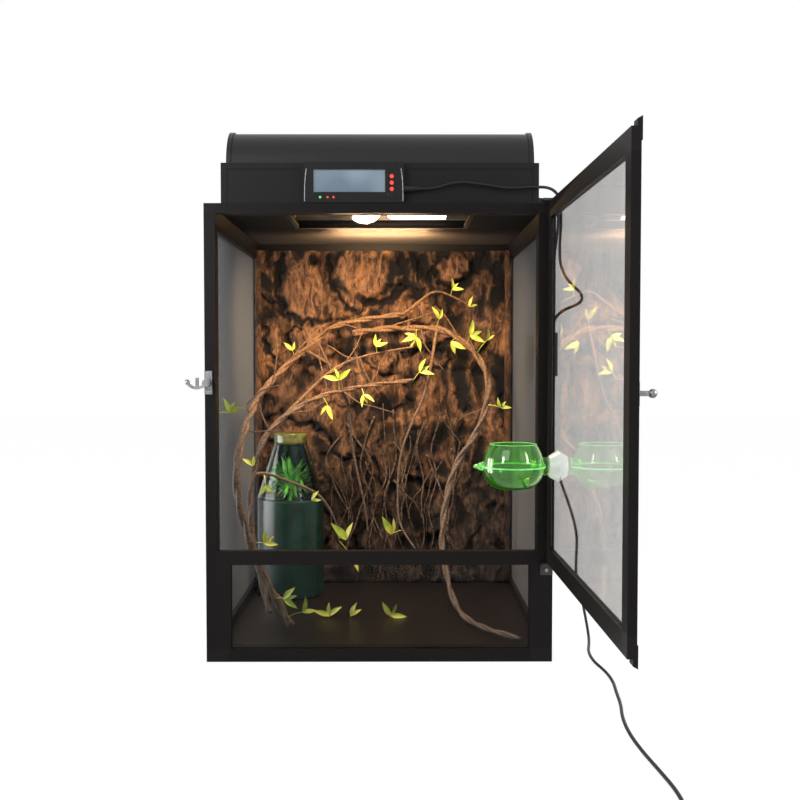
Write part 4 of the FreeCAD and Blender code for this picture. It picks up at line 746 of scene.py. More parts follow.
def big_crack(x, z):
    """How deep a place is in one of the large cracks, from 0 to 1."""
    deepest = 0.0
    for half, line in BIG_CRACKS:
        for (x0, z0), (x1, z1) in zip(line, line[1:]):
            run_x, run_z = x1 - x0, z1 - z0
            if abs(2 * x - x0 - x1) > abs(run_x) + 2 * half or abs(2 * z - z0 - z1) > abs(run_z) + 2 * half:
                continue
            t = clamp(((x - x0) * run_x + (z - z0) * run_z) / (run_x ** 2 + run_z ** 2))
            away = math.hypot(x - x0 - t * run_x, z - z0 - t * run_z)
            deepest = max(deepest, clamp(1.5 * (1 - away / half)))
    return deepest


def big_plate(x, z):
    """How far a place lies within one of the large plates, from 0 to 1."""
    return max(
        clamp(3 * (1 - ((x - x0) / wide) ** 2 - ((z - z0) / tall) ** 2)) for x0, z0, wide, tall in BIG_PLATES
    )


def bark_plate(x, z):
    """How high a place's plate lies, how deep in a crack it is and how far in a large plate, all 0 to 1."""
    bend = noise.noise_vector(patch(x, z, 42, 60, 2))
    ragged = noise.noise_vector(patch(x, z, 11, 15, 6))
    bent_x, bent_z = x + 34 * bend.x + 8 * ragged.x, z + 40 * bend.y + 9 * ragged.y
    away, centres = noise.voronoi(patch(bent_x, bent_z, 66, 80, 0))
    open_share = clamp(0.5 + 2.2 * noise.noise(patch(x, z, 38, 30, 4)))
    lie = noise.cell(centres[0] * 7.3)
    crack = clamp(1 - (away[1] - away[0]) * 5.0) * open_share
    set_out = clamp((z - SET_OUT_ABOVE) / SET_OUT_FADE)
    if set_out == 0:
        return lie, crack, 0.0
    rough_x, rough_z = x + 10 * ragged.x + 6 * bend.x, z + 10 * ragged.y + 6 * bend.y
    plate = set_out * big_plate(rough_x, rough_z)
    cells = crack * (1 - (1 - CELL_KEPT) * set_out) * (1 - plate)
    return lie + (PLATE_LEVEL - lie) * plate, max(cells, set_out * big_crack(rough_x, rough_z)), plate


# %% [markdown]
# ## Relief of the bark
# A dense grid follows the broad waves of the solid, with plates, cracks and a ridged grain added. A grid is
# plain, but it keeps the relief inside the slab's own thickness. A roll of bark closes each side edge.

# %% Depth and damp of the bark
BARK_THIN = 12.0 * MM
BARK_THICK = 31.0 * MM
BARK_MEAN = 22.0 * MM
BROAD_SHARE = 0.55
PLATE_RISE = 9.0 * MM
CRACK_DEPTH = 7.0 * MM
GRAIN_RISE = 9.0 * MM
LEAST_DEPTH = 1.5 * MM
PLATE_GRAIN = 0.6
PLATE_CALM = 0.55
SHADED_ABOVE = 450.0
SHADED_SHARE = 0.35
# Where the painted shade towards the floor begins and how far it fades
SHADE_BELOW = 330
SHADE_FADE = 190
bark_low, bark_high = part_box("bark_background")


def bark_depth(x, z):
    """How far the solid bark stands out from its back, in metres."""
    plates = abs(math.sin(x / 25.0 + 0.8 * math.sin(z / 66.0)))
    ledges = abs(math.sin(z / 38.0 + 0.7 * math.sin(x / 45.0)))
    knots = math.sin(x / 23.0 + z / 31.0) ** 2
    return BARK_THIN + (BARK_THICK - BARK_THIN) * (0.55 * plates + 0.3 * ledges + 0.15 * knots)


def bark_grain(x, z):
    """Ragged flowing ridges, from 0 in the furrows to 1."""
    bend = noise.noise_vector(patch(x, z, 26, 40, 3))
    spot = patch(x + 14 * bend.x, z + 18 * bend.y, 30, 48, 1)
    return min(noise.ridged_multi_fractal(spot, 0.7, 2.2, 6, 0.9, 1.7) / 2.6, 1.0)


def low_shade_share(x, z):
    """How much painted shade darkens the bark towards the floor, with a wandering border."""
    border = 40 * noise.noise(patch(x, z, 60, 60, 9))
    return clamp((SHADE_BELOW + border - z) / SHADE_FADE)


def bark_place(x, z):
    """How far the finished bark stands out, in metres, and how much painted shade darkens its cracks, furrows
    and shaded top.
    """
    lie, crack, plate = bark_plate(x, z)
    grain = bark_grain(x, z)
    grain += (PLATE_GRAIN - grain) * PLATE_CALM * plate
    depth = BARK_MEAN + BROAD_SHARE * (bark_depth(x, z) - BARK_MEAN)
    depth += PLATE_RISE * (lie - 0.5) - CRACK_DEPTH * crack + GRAIN_RISE * (grain - 0.5)
    # Painted shadow on the bark between the large plates of the top
    between = (1 - plate) * clamp((z - SHADED_ABOVE) / SET_OUT_FADE)
    return max(depth, LEAST_DEPTH), clamp(0.9 * crack + 2.2 * (0.5 - grain) + SHADED_SHARE * between)


# %% Bark grid with its edges
BARK_STEP = 2.0 * MM
EDGE_ROLL = 6.0 * MM
EDGE_STEPS = 90
# Painted shade on the bark's side edges, half that of a crack
EDGE_SHADE = 0.5
low, size = bark_low, bark_high - bark_low
columns, rows = round(size.x / BARK_STEP), round(size.z / BARK_STEP)
width = columns + 1
points, faces, crack_shades = [], [], []
for j in range(rows + 1):
    z = low.z + size.z * j / rows
    for i in range(width):
        x = low.x + size.x * i / columns
        depth, crack_shade = bark_place(x / MM, z / MM)
        points.append(Vector((x, bark_high.y - min(depth, size.y), z)))
        crack_shades.append(crack_shade)
for j in range(rows):
    for a in range(j * width, j * width + columns):
        faces.append((a, a + 1, a + width + 1, a + width))
rim = [*range(width), *range(width + columns, len(points), width)]
rim += [*range(len(points) - 2, rows * width - 1, -1), *range((rows - 1) * width, 0, -width)]
base = len(points)
points += [Vector((points[index].x, bark_high.y, points[index].z)) for index in rim]
for k, index in enumerate(rim):
    following = (k + 1) % len(rim)
    faces.append((index, base + k, base + following, rim[following]))
faces.append(tuple(range(base, len(points))))
for x in (low.x + EDGE_ROLL / 4, bark_high.x - EDGE_ROLL / 4):
    levels = [low.z + size.z * i / EDGE_STEPS for i in range(EDGE_STEPS + 1)]
    edge = [Vector((x, low.y + EDGE_ROLL, z)) for z in levels]
    strand((points, faces), edge, EDGE_ROLL, 1.0, seed=x * 100)
# Painted shade: the side edges get half the crack shade
crack_shades += [EDGE_SHADE] * (len(points) - len(crack_shades))
# Painted shade towards the floor, as a grey value for each point
low_shades = [low_shade_share(p.x / MM, p.z / MM) for p in points]
thing = piece("cork_bark", (points, faces), cork, replaces=("bark_background",))
for name, values in (("crack_shade", crack_shades), ("low_shade", low_shades)):
    thing.data.attributes.new(name, "FLOAT", "POINT").data.foreach_set("value", values)

# %% [markdown]
# ## Vine bark
# Dried grape stems have stringy bark. Its colour changes with the height above the floor: painted lamp light
# makes it golden high up, and painted shade makes it grey low in the cage, on top of fine streaks and broader
# bands.

# %% Vine material
# Heights, as a share of a metre, of the painted shade below and the painted lamp light above
VINE_SHADED_BELOW = 0.28
VINE_LAMP_LIT_ABOVE = 0.44
STREAK_SPAN = (0.34, 0.68)
vine_bark, tree, shader, place = material("Dry grape-vine bark", {"Roughness": 0.75})
streaks = cloud(tree, place, 3, Detail=6.0, Roughness=0.65)
bands = cloud(tree, place, 45, Detail=2.0)
# Painted lamp light: golden and tan tones high up; painted shade: grey tones low down
lamp_lit_gold = ramp(tree, streaks, "#281b12", "#9a672c", *STREAK_SPAN)
tan = ramp(tree, streaks, "#33271e", "#86653f", *STREAK_SPAN)
grey = ramp(tree, streaks, "#271e19", "#715d4d", *STREAK_SPAN)
# Blend by height from the painted shade to the painted lamp light
height = add(tree, "ShaderNodeSeparateXYZ", {"Vector": place}).outputs["Z"]
limits = {"Value": height, "From Min": VINE_SHADED_BELOW, "From Max": VINE_LAMP_LIT_ABOVE}
lamp_lit_share = add(tree, "ShaderNodeMapRange", limits).outputs["Result"]
tree.links.new(blend(tree, lamp_lit_share, grey, blend(tree, bands, lamp_lit_gold, tan)), shader.inputs["Base Color"])
relief(tree, shader, streaks, strength=0.6, depth=0.8)
print(vine_bark.name)

# %% [markdown]
# ## Vine routes
# Three vines climb from the floor and arch over under the lamps. Each follows the places of its solid,
# which were read from the picture and measured from a side wall, the back wall and the floor.

# %% Vine routes
BOARD_CLEARANCE = 0.2 * MM
board_low, board_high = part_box("base_board")
left_wall = board_low.x - BOARD_CLEARANCE
right_wall = board_high.x + BOARD_CLEARANCE
back_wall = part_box("back_top_rail")[0].y


def from_left(x, y, z):
    """A place in millimetres from the left wall, the back wall and the floor."""
    return Vector((left_wall + x * MM, back_wall - y * MM, board_high.z + z * MM))


def from_right(x, y, z):
    """The same from the right wall."""
    return Vector((right_wall - x * MM, back_wall - y * MM, board_high.z + z * MM))


main_stem = soft_route(through(
    from_left, (86, 327, 7.6), (48, 332, 79), (33, 342, 122), (16, 352, 185), (13, 350, 227),
    (18, 322, 273), (25, 262, 312), (34, 202, 338), (58, 142, 368), (73, 112, 385), (100, 84, 409),
    (128, 68, 435), (175, 64, 447), (250, 64, 457),
))
main_shoot = soft_route(through(
    from_left, (247, 64, 457), (270, 66, 474), (296, 62, 496), (324, 62, 488), (352, 66, 472),
))
main_spur = soft_route(through(from_left, (86, 98, 397), (109, 90, 386), (131, 88, 370)))
second_stem = soft_route(through(
    from_left, (47, 252, 6), (26, 245, 82), (16, 243, 166), (21, 242, 210), (37, 240, 267), (60, 202, 293),
    (102, 164, 320), (147, 134, 333), (201, 116, 342), (262, 106, 348),
))
second_rising = soft_route(through(
    from_left, (62, 200, 294), (96, 152, 331), (134, 118, 369), (188, 104, 391), (262, 99, 402),
))
second_hanging = soft_route(through(
    from_left, (147, 134, 333), (156, 108, 318), (159, 90, 292), (163, 86, 235), (176, 84, 174),
    (186, 83, 130), (188, 82, 98),
))
second_twig = soft_route(through(
    from_left, (21, 242, 211), (38, 238, 215), (66, 212, 200), (109, 192, 181), (128, 182, 160),
    (143, 174, 127), (146, 172, 100),
))
right_stem = soft_route(through(
    from_right, (262, 68, 424), (212, 68, 433), (162, 68, 432), (124, 74, 434), (88, 84, 416),
    (64, 94, 395), (47, 112, 366), (42, 124, 334), (50, 133, 299), (67, 143, 260), (91, 153, 230),
    (107, 164, 194), (118, 183, 145), (122, 203, 97), (116, 222, 65), (108, 250, 28), (93, 284, 8),
    (68, 343, 8), (46, 375, 8), (24, 398, 8),
))
right_drooping = soft_route(through(
    from_right, (124, 74, 434), (131, 87, 385), (144, 93, 323), (168, 98, 274), (186, 103, 224),
    (189, 112, 147), (184, 122, 110), (160, 140, 82),
))
print(f"stems with {len(main_stem)}, {len(second_stem)} and {len(right_stem)} places")

# %% [markdown]
# ## Twisted vines
# A grape stem is rarely one smooth rod: two knobbly strands twist round each other, taper and split into
# twigs. Two offset strands on one route give that look with little code.

# %% Vines
TWIG = 2.8 * MM
STRAND_SHARE = 0.62
STRAND_OFFSET = 0.42
STEM_END = 0.7


def make_vine(name, stem, radius, twigs, replaces):
    """A stem of two twisted strands with its single-stranded twigs."""
    shape = ([], [])
    offset = STRAND_OFFSET * radius
    for phase, seed in ((0.0, 1.7), (math.pi, 8.3)):
        strand(shape, stem, STRAND_SHARE * radius, STEM_END, offset=offset, phase=phase, seed=seed)
    for i, route in enumerate(twigs):
        strand(shape, route, TWIG, 0.5, seed=20.0 + i, sides=7)
    piece(name, shape, vine_bark, replaces=replaces)


make_vine("twisted_main_vine", main_stem, 6.5 * MM, (main_shoot, main_spur), ("main_vine",))
second_twigs = (second_rising, second_hanging, second_twig)
make_vine("twisted_second_vine", second_stem, 5 * MM, second_twigs, ("second_vine",))
make_vine("twisted_right_vine", right_stem, 6 * MM, (right_drooping,), ("right_vine",))

# %% [markdown]
# ## Fine twigs and roots
# Thin twigs grow from the stems, and dry root strings hang down the lower half of the bark. No solid needs
# them, but they give the cage its tangle. They wander by noise, and counting in jumps spreads their starts
# and lengths evenly.

# %% Fine twigs
FINE_TWIGS = 22
TWIG_LEGS = 5
TWIG_ROOM = 198 * MM
FINE_TWIG = 1.5 * MM


def shuffled(i, jump, count):
    """A share from 0 to 1 that jumps about evenly as i counts up."""
    return i * jump % count / (count - 1)


def fine_twig(start, turn, length, seed):
    """A twig that wanders off a stem and turns back before it meets a wall."""
    route = [start]
    for i in range(TWIG_LEGS):
        turn += 0.75 * noise.noise(Vector((seed, 1.3 * i, 0.5)))
        lean = 0.35 * noise.noise(Vector((seed, 2.1 * i, 4.5)))
        step = Vector((math.cos(turn), lean, math.sin(turn))) * length / TWIG_LEGS
        if abs(route[-1].x + step.x) > TWIG_ROOM:
            turn, step.x = math.pi - turn, -step.x
        route.append(route[-1] + step)
    return route


shape = ([], [])
stems = (main_stem, second_stem, right_stem, second_rising)
for i in range(FINE_TWIGS):
    stem = stems[i % len(stems)]
    along = int(len(stem) * (0.42 + 0.5 * ((i * 7) % 11) / 11))
    if stem is right_stem:
        along = 4 + 4 * i
    turn = math.pi * (0.1 + 0.8 * shuffled(i, 5, 9)) * (1 if i % 3 else -1)
    route = fine_twig(stem[along], turn, (50 + 45 * shuffled(i, 3, 7)) * MM, 3.7 * i)
    strand(shape, soft_route(route), FINE_TWIG, 0.45, seed=40.0 + i, sides=6)
piece("fine_twigs", shape, vine_bark)

# %% Root strings
ROOTS = 26
ROOT_LEGS = 9
ROOT_SWAY = 60
ROOT_SHIVER = 7
ROOT_STAND_OFF = 4 * MM
root_bark = speckled("Dry root bark", "#241c18", "#75655a", grain=5, rough=0.8, depth=0.5, sheen=0.2)


def hanging_root(x, z_top, z_low, seed):
    """A root string down the bark's face, between two heights in millimetres."""
    route = []
    sway = ROOT_SWAY * (0.4 + 0.6 * math.sin(seed) ** 2)
    for i in range(ROOT_LEGS + 1):
        z = z_top + (z_low - z_top) * i / ROOT_LEGS
        here = x + sway * noise.noise(Vector((seed, z / 90, 1.0)))
        here += ROOT_SHIVER * noise.noise(Vector((seed, z / 17, 8.0)))
        route.append(Vector((here * MM, bark_high.y - bark_depth(here, z) - ROOT_STAND_OFF, z * MM)))
    return route


shape = ([], [])
for i in range(ROOTS):
    z_top, z_low = 190 + 130 * shuffled(i, 7, 13), 35 + 90 * shuffled(i, 5, 11)
    route = hanging_root(-85 + 225 * i / ROOTS, z_top, z_low, 2.3 * i)
    thickness = (0.8 + 1.3 * shuffled(i, 3, 8)) * MM
    strand(shape, soft_route(route), thickness, 0.5, seed=80.0 + i, sides=6)
piece("hanging_roots", shape, root_bark)

# %% [markdown]
# ## Leaves
# The sprigs are printed polyester leaves on wire stems, bright yellow-green, each blade folded along its
# midrib and curling back at its tip. A strip of two faces across shows the fold, and a fine bump stands for
# the weave.

# %% Leaf material and blade
BLADE_STEPS = 7
BLADE_FOLD = 0.45
polyester, tree, shader, place = material("Printed polyester leaf", {"Roughness": 0.5})
blotches = cloud(tree, place, 18, Detail=3.0)
tree.links.new(ramp(tree, blotches, "#7f9a2a", "#c3c650", 0.35, 0.62), shader.inputs["Base Color"])
relief(tree, shader, cloud(tree, place, 0.9), strength=0.3, depth=0.1)
print(polyester.name)


def leaf_blade(shape, root, aim, facing, length, share=0.17, curl=0.35):
    """A folded, curling blade from its root along aim; share is half its width over its length."""
    points, faces = shape
    along = aim.normalized()
    across = along.cross(facing).normalized()
    up = across.cross(along).normalized()
    base = len(points)
    for i in range(BLADE_STEPS + 1):
        t = i / BLADE_STEPS
        half = length * share * math.sin(math.pi * min(0.04 + 0.96 * t, 1.0) ** 0.85)
        spine = root + along * length * t - up * curl * length * t * t * 0.5
        fold = up * half * BLADE_FOLD
        points += [spine - across * half + fold, spine, spine + across * half + fold]
    for a in range(base, base + 3 * BLADE_STEPS, 3):
        faces += [(a, a + 1, a + 4, a + 3), (a + 1, a + 2, a + 5, a + 4)]


# %% [markdown]
# ## Sprigs
# Each sprig sits where the solid has its plain blades: a stem from the nearest place on what carries it,
# then a fan of blades. Most grow on the vines, three lie on the floor, and one is stuck to the left wall.

# %% Sprigs
# Place of the tip, lean in degrees, length in millimetres and number of blades
MAIN_SPRIGS = (
    (70, 124, 396, -20, 17, 2), (326, 73, 496, 26, 20, 2), (354, 74, 468, 40, 17, 2),
    (78, 345, 50, 60, 20, 2), (104, 340, 30, 50, 20, 2),
)
SECOND_SPRIGS = (
    (202, 112, 403, 10, 18, 2), (144, 146, 350, -15, 26, 3), (183, 130, 326, 130, 20, 2),
    (128, 158, 310, 200, 20, 2), (272, 112, 362, 30, 20, 2), (24, 256, 226, -10, 18, 2),
    (42, 250, 196, 140, 17, 2), (106, 204, 168, 70, 18, 2), (40, 256, 112, 20, 18, 2),
    (158, 182, 104, 0, 30, 2), (166, 184, 76, 70, 22, 2),
)
RIGHT_SPRIGS = (
    (121, 88, 447, 10, 24, 2), (158, 84, 418, 200, 24, 3), (102, 98, 410, 150, 22, 2),
    (72, 106, 420, 30, 22, 2), (46, 114, 412, 40, 20, 2), (26, 140, 306, 0, 18, 2),
    (198, 130, 104, 0, 30, 2),
)
FLOOR_SPRIGS = ((135, 250, 3, -40, 20, 2), (167, 252, 3, 40, 20, 2), (226, 250, 3, 0, 24, 2))
WALL_SPRIGS = ((9, 376, 310, 30, 22, 3),)
FAN = 50
SCATTER = 14
SPRIG_STEM = 0.7 * MM
floor_seats = through(from_left, (135, 250, 0.3), (167, 252, 0.3), (226, 250, 0.3))
wall_seats = through(from_left, (-5, 376, 310))
sprig_groups = (
    (main_stem + main_shoot + main_spur, from_left, MAIN_SPRIGS),
    (second_stem + second_rising + second_hanging + second_twig, from_left, SECOND_SPRIGS),
    (right_stem + right_drooping, from_right, RIGHT_SPRIGS),
    (floor_seats, from_left, FLOOR_SPRIGS),
    (wall_seats, from_left, WALL_SPRIGS),
)


def sprig(shape, number, seat, tip, lean, length, blades):
    """A stem from its seat to its tip, and a fan of blades there."""
    bow = (seat + tip) / 2 + Vector((0, 0, (tip - seat).length * 0.12))
    strand(shape, soft_route([seat, bow, tip], step=2 * MM), SPRIG_STEM, 0.7, sides=5)
    for i in range(blades + number % 2):
        angle = math.radians(lean + (i - (blades - 1) / 2) * FAN + SCATTER * math.sin(3 * number + i))
        aim = Vector((math.sin(angle), -0.35 + 0.25 * (i % 2), math.cos(angle)))
        facing = Vector((0.9 * math.sin(2 * number + 1.7 * i), -1, 0.35))
        size = length * (1.1 - 0.25 * (i % 2) + 0.12 * math.sin(5 * number)) * MM
        leaf_blade(shape, tip, aim, facing, size)


shape = ([], [])
number = 0
for carrier, place, sprigs in sprig_groups:
    for x, y, z, lean, length, blades in sprigs:
        tip = place(x, y, z)
        seat = min(carrier, key=lambda p: (p - tip).length)
        sprig(shape, number, seat, tip, lean, length, blades)
        number += 1
piece("polyester_leaves", shape, polyester, replaces=("leaf_sprigs",))

# %% [markdown]
# ## Drip tank
# A bottle-green moulded tank stands in the back left corner, with a clear cone and a gilt cap on top. All
# three are round, so an outline of radii and heights is turned about an upright axis. Close rows at the
# edges keep the shading true, mainly where the clear cone bends light.

# %% Tank, cone and cap
TURN_STEPS = 96
TANK_WALL = 2.0 * MM
EDGE = 1.2 * MM
EDGE_BAND = 5.0 * MM
CONE_ROWS = (0, 0.01, 0.03, 0.97, 0.99, 1)
green_values = {"Roughness": 0.27, "Specular IOR Level": 0.3}
tank_green = clouded("Bottle-green polystyrene", ("#0b201b", "#163830"), 40, green_values)
clear_plastic = clouded("Clear polystyrene", ("#d3e2da", "#eef4f0"), 30, see_through(0.04, 1.22))
cap_gilt = speckled("Gilt lacquer on moulded ABS", "#3a4520", "#777a3c", grain=12, rough=0.25)
tank_low, tank_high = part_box("drip_tank")
cap_low, cap_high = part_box("drip_cap")
tank_radius = (tank_high.x - tank_low.x) / 2
cap_radius = (cap_high.x - cap_low.x) / 2
cone_rise = cap_low.z - tank_high.z


def on_axis(z):
    """A place on the tank's axis."""
    return Vector(((tank_low.x + tank_high.x) / 2, (tank_low.y + tank_high.y) / 2, z))


def turned(shape, foot, outline, steps):
    """A wall turned round an upright axis: each radius and height becomes a circle."""
    points, faces = shape
    rings = []
    for radius, z in outline:
        count = steps if radius else 1
        rings.append([len(points) + i for i in range(count)])
        for i in range(count):
            angle = 2 * math.pi * i / count
            points.append(foot + Vector((radius * math.cos(angle), radius * math.sin(angle), z)))
    if outline[0][0]:
        rings.append(rings[0])
    for lower, upper in zip(rings, rings[1:]):
        for i in range(steps):
            j = (i + 1) % steps
            corners = [ring[k % len(ring)] for ring, k in ((lower, i), (lower, j), (upper, j), (upper, i))]
            faces.append(tuple(dict.fromkeys(corners)))


def turned_piece(name, foot, outline, made, replaces):
    """One turned wall as a piece."""
    shape = ([], [])
    turned(shape, foot, outline, TURN_STEPS)
    piece(name, shape, made, replaces=replaces)


def turned_edges(radius, height):
    """The outside of a round piece from its foot to its crown, with rounded edges."""
    return [
        (0, 0), (radius - EDGE_BAND, 0), (radius - EDGE, 0), (radius, EDGE), (radius, EDGE_BAND),
        (radius, height - EDGE_BAND), (radius, height - EDGE), (radius - EDGE, height),
    ]


tall = tank_high.z - tank_low.z
bore = tank_radius - TANK_WALL
tank_outline = turned_edges(tank_radius, tall) + [(bore, tall), (bore, TANK_WALL), (0, TANK_WALL)]
turned_piece("moulded_tank", on_axis(tank_low.z), tank_outline, tank_green, ("drip_tank",))
outside = [(tank_radius + (cap_radius - tank_radius) * t, cone_rise * t) for t in CONE_ROWS]
inside = [(radius - TANK_WALL, z) for radius, z in reversed(outside)]
turned_piece("clear_cone", on_axis(tank_high.z), outside + inside, clear_plastic, ("drip_cone",))
tall = cap_high.z - cap_low.z
cap_outline = turned_edges(cap_radius, tall) + [(cap_radius - EDGE_BAND, tall), (0, tall)]
turned_piece("gilt_cap", on_axis(cap_low.z), cap_outline, cap_gilt, ("drip_cap",))

# %% [markdown]
# ## Fern in the cone
# A moulded plastic fern fills the cone: narrow fronds spread from one crown in steps of the golden angle,
# so that none lies over another, and any that would reach through the cone is trimmed. A dark half-round
# sheet behind it is painted shade that sets it off.

# %% Fern
FRONDS = 130
FROND_TURN = 2.399
FERN_CROWN = 10 * MM
FERN_BUSH = 24 * MM
FERN_ROOM = 4 * MM
FERN_TRIM = 0.92
FERN_STEM = 2.5 * MM
UP = Vector((0, 0, 1))
fern_green = clouded("Moulded polyethylene fern", ("#2f7a1e", "#7ad143"), 9, {"Roughness": 0.45}, detail=3.0)
cone_low, cone_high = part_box("drip_cone")
room_below = (cone_high.x - cone_low.x) / 2 - FERN_ROOM
room_above = cap_radius - FERN_ROOM
low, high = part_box("drip_plant")
middle = (low + high) / 2
crown = Vector((middle.x, middle.y, cone_low.z + FERN_CROWN))
slope = (room_above - room_below) / (cone_high.z - cone_low.z)
shape = ([], [])
strand(shape, [Vector((middle.x, middle.y, low.z + FERN_ROOM)), crown], FERN_STEM, 0.8)
for i in range(FRONDS):
    way = Vector((math.cos(FROND_TURN * i), math.sin(FROND_TURN * i), 0))
    root = crown + (way * shuffled(i, 3, 8) + UP * shuffled(i, 5, 9)) * FERN_BUSH
    aim = (way * (0.2 + 1.5 * shuffled(i, 1, 7)) + UP * (1 if i % 4 else -0.5)).normalized()
    length = (20 + 16 * shuffled(i, 5, 9)) * MM
    tip = root + aim * length
    while (tip - middle).xy.length > room_below + slope * (tip.z - cone_low.z):
        length *= FERN_TRIM
        tip = root + aim * length
    leaf_blade(shape, root, aim, UP - 0.6 * way, length, share=0.1, curl=0.25)
piece("fern", shape, fern_green, replaces=("drip_plant",))

# %% Dark sheet of painted shade behind the fern
SHADE_SHEET_STEPS = 20
points, faces = [], []
for i in range(SHADE_SHEET_STEPS + 1):
    angle = math.pi * (1.1 * i / SHADE_SHEET_STEPS - 0.15)
    way = Vector((math.cos(angle), math.sin(angle), 0))
    points.append(on_axis(cone_low.z + FERN_ROOM) + way * room_below)
    points.append(on_axis(cone_high.z - FERN_ROOM) + way * room_above)
for a in range(0, 2 * SHADE_SHEET_STEPS, 2):
    faces.append((a, a + 2, a + 3, a + 1))
# Painted shade: a dark sheet in the back of the cone
piece("cone_shade_sheet", (points, faces), tank_green)

# %% [markdown]
# ## Feeding bowl
# The bowl on the door is clear green acrylic on a clear PVC suction cup. Light comes through it, and a
# painted glow in the tinted wall and in the cup stands in for light that scatters there. The rim and the seam
# along its belly get two thin rings with a painted highlight, bright in colour and glowing.

# %% Acrylic bowl and suction cup
# Painted glow: the bowl's acrylic has a faint green emission
bowl_painted_glow_values = {**see_through(0.02, 1.45), "Emission Strength": 0.05}
green_acrylic_painted_glow = clouded("Clear green acrylic", ("#a0e27e", "#c0f09c"), 25, bowl_painted_glow_values, glow=("#2c9a1c", "#4fbb30"))
dress(green_acrylic_painted_glow, "feeding_bowl")
# Painted glow: the cup's PVC has a faint white emission
cup_painted_glow_values = {**lit(0.25, 0.12), "Transmission Weight": 0.55}
soft_pvc_painted_glow = clouded("Clear soft PVC", ("#dde3e4", "#f4f7f7"), 8, cup_painted_glow_values, glow=("#dde6e2", "#f4faf7"))
dress(soft_pvc_painted_glow, "suction_cup")

# %% Rings of the bowl with a painted highlight
RING_PROUD = 0.25 * MM
RING_HALF = 0.9 * MM
RIM_WALL = 2.5 * MM
RIM_BAND = 0.1 * MM
RING_STEPS = 56
# Painted highlight: bright colour and glow on the rim and the belly seam
painted_highlight_acrylic = clouded(
    "Polished green acrylic edge", ("#4fd45a", "#a9f7a6"), 18, lit(0.05, 0.35), glow=("#37c243", "#8df08d")
)
low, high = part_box("feeding_bowl")
rim = [v.co.x for v in nodes["feeding_bowl"].data.vertices if v.co.z > high.z - RIM_BAND]
x, y = (min(rim) + max(rim)) / 2, (low.y + high.y) / 2
rim_radius, belly_radius = (max(rim) - min(rim)) / 2, (high.y - low.y) / 2
shape = ([], [])
for z, inner, outer, half in (
    (high.z, rim_radius - RIM_WALL, rim_radius + RING_PROUD, RING_PROUD),
    ((low.z + high.z) / 2, belly_radius - RING_HALF, belly_radius + RING_PROUD, RING_HALF),
):
    outline = ((inner, -half), (outer, -half), (outer, half), (inner, half))
    turned(shape, Vector((x, y, z)), outline, RING_STEPS)
piece("bowl_highlight_rings", shape, painted_highlight_acrylic, body="door", smooth=False)

# %% [markdown]
# ## Studio
# The portrait is taken on white. The world shines white into the camera, into reflections and through
# glass, and more softly on the object itself, so that black paint keeps its depth. The floor is white paper
# and keeps a faint shadow.

# %% World and floor
WORLD_LIGHT = 0.45
KEPT_SHADOW = 0.18
PAPER_GLOW = 1.12
FLOOR_HALF = 6.0
FLOOR_DROP = 0.2 * MM
scene = bpy.context.scene
scene.view_settings.view_transform = "Standard"


def show(tree, output, plain, seen, share):
    """Lets camera, reflections and clear things see a share of a second shader, and the rest a plain one."""
    rays = add(tree, "ShaderNodeLightPath").outputs
    part = rays["Is Camera Ray"]
    for other in ("Is Glossy Ray", "Is Transmission Ray"):
        part = add(tree, "ShaderNodeMath", {0: part, 1: rays[other]}, operation="MAXIMUM").outputs[0]
    part = add(tree, "ShaderNodeMath", {0: part, 1: share}, operation="MULTIPLY").outputs[0]
    both = add(tree, "ShaderNodeMixShader", {0: part, 1: plain.outputs[0], 2: seen.outputs[0]})
    tree.links.new(both.outputs[0], tree.nodes[output].inputs["Surface"])


scene.world = bpy.data.worlds.new("White studio")
scene.world.use_nodes = True
tree = scene.world.node_tree
soft = add(tree, "ShaderNodeBackground", {"Color": linear(WHITE), "Strength": WORLD_LIGHT})
bright = add(tree, "ShaderNodeBackground", {"Color": linear(WHITE), "Strength": 1.0})
show(tree, "World Output", soft, bright, 1.0)

paper = bpy.data.materials.new("White paper sweep")
paper.use_nodes = True
tree = paper.node_tree
matt = add(tree, "ShaderNodeBsdfDiffuse", {"Color": linear("#f4f4f4")})
glow = add(tree, "ShaderNodeEmission", {"Color": linear(WHITE), "Strength": PAPER_GLOW})
show(tree, "Material Output", matt, glow, 1 - KEPT_SHADOW)
floor_mesh = bpy.data.meshes.new("studio_floor")
corners = [(x * FLOOR_HALF, y * FLOOR_HALF, 0) for x, y in ((-1, -1), (1, -1), (1, 1), (-1, 1))]
floor_mesh.from_pydata(corners, [], [(0, 1, 2, 3)])
floor_mesh.materials.append(paper)
studio_floor = bpy.data.objects.new("studio_floor", floor_mesh)
studio_floor.location.z = -FLOOR_DROP
scene.collection.objects.link(studio_floor)
print("white world and paper floor")

# %% [markdown]
# ## Lights
# A large panel on the left and a weaker one on the right work as softboxes. Two warm panels under the hood
# do the lamps' work, where tiny lamps would give a noisy picture. Three strips light nothing and show only
# as gleams on the tank and the bowl.

# %% Panels and strips


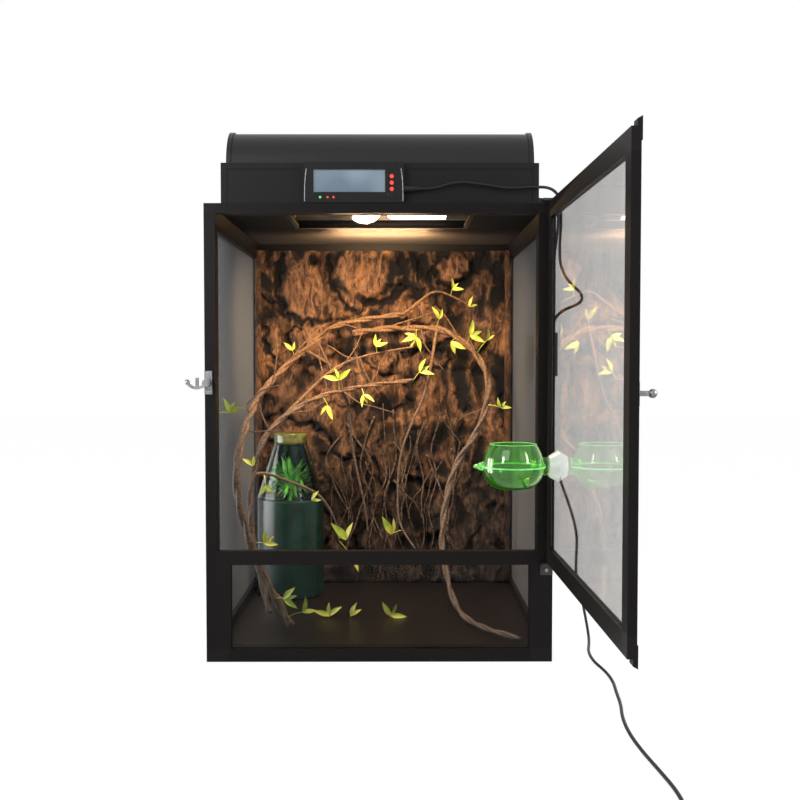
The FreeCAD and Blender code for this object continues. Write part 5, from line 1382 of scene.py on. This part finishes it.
def panel_light(name, place, target, width, depth, power, colour=WHITE, spread=180, gleam_only=False):
    """A soft panel that shines from one place to another, or that only gleams on glossy things."""
    light = bpy.data.lights.new(name, "AREA")
    light.shape = "RECTANGLE"
    light.size = width
    light.size_y = depth
    light.energy = power
    light.color = linear(colour)[:3]
    light.spread = math.radians(spread)
    thing = bpy.data.objects.new(name, light)
    thing.location = place
    thing.rotation_euler = (Vector(target) - Vector(place)).to_track_quat("-Z", "Y").to_euler()
    thing.visible_camera = False
    thing.visible_diffuse = not gleam_only
    scene.collection.objects.link(thing)
    print(f"{name}: {power} W")


CAGE_MIDDLE = (0, 0, 0.4)
TANK_PLACE = (-0.15, 0.02, 0.15)
BOWL_PLACE = (0.17, -0.29, 0.27)
lamp_place = (-0.02, hood_low.y + 75 * MM, top_low.z - 8 * MM)
glow_place = (0.0, 0.05, top_low.z - 24 * MM)
panel_light("key_panel", (-1.3, -2.0, 1.7), CAGE_MIDDLE, 1.4, 1.4, 18)
panel_light("fill_panel", (1.6, -1.8, 1.2), CAGE_MIDDLE, 1.4, 1.4, 8)
panel_light("lamp_panel", lamp_place, (0.0, 0.12, 0.12), 0.12, 0.05, 3.2, "#ffd9ac", spread=150)
panel_light("ceiling_glow", glow_place, (0.0, 0.05, top_low.z), 0.14, 0.05, 5.2, "#ffd29a")
panel_light("left_strip", (-0.75, -0.05, 0.2), TANK_PLACE, 0.5, 0.5, 11, gleam_only=True)
panel_light("right_strip", (0.75, -0.75, 0.55), BOWL_PLACE, 0.12, 0.4, 3, gleam_only=True)
panel_light("bowl_strip", (-0.55, -1.0, 0.6), BOWL_PLACE, 0.14, 0.3, 3, gleam_only=True)

# %% [markdown]
# ## Camera
# The picture was taken from straight in front, about 1.4 m from the door's opening and a little above the
# middle of the cage, looking slightly down. Its place and its focal length were fitted to corners that the
# picture shows.

# %% Camera
SENSOR = 36.0
PICTURE = 800
FOCAL_PIXELS = 1046.5
LOOK_DOWN = 2.24
TURN = -0.22
camera = bpy.data.cameras.new("portrait")
camera.sensor_width = SENSOR
camera.lens = FOCAL_PIXELS * SENSOR / PICTURE
portrait = bpy.data.objects.new("portrait", camera)
portrait.location = (0.0216, -1.5748, 0.3943)
portrait.rotation_euler = (math.radians(90 - LOOK_DOWN), 0, math.radians(TURN))
scene.collection.objects.link(portrait)
scene.camera = portrait
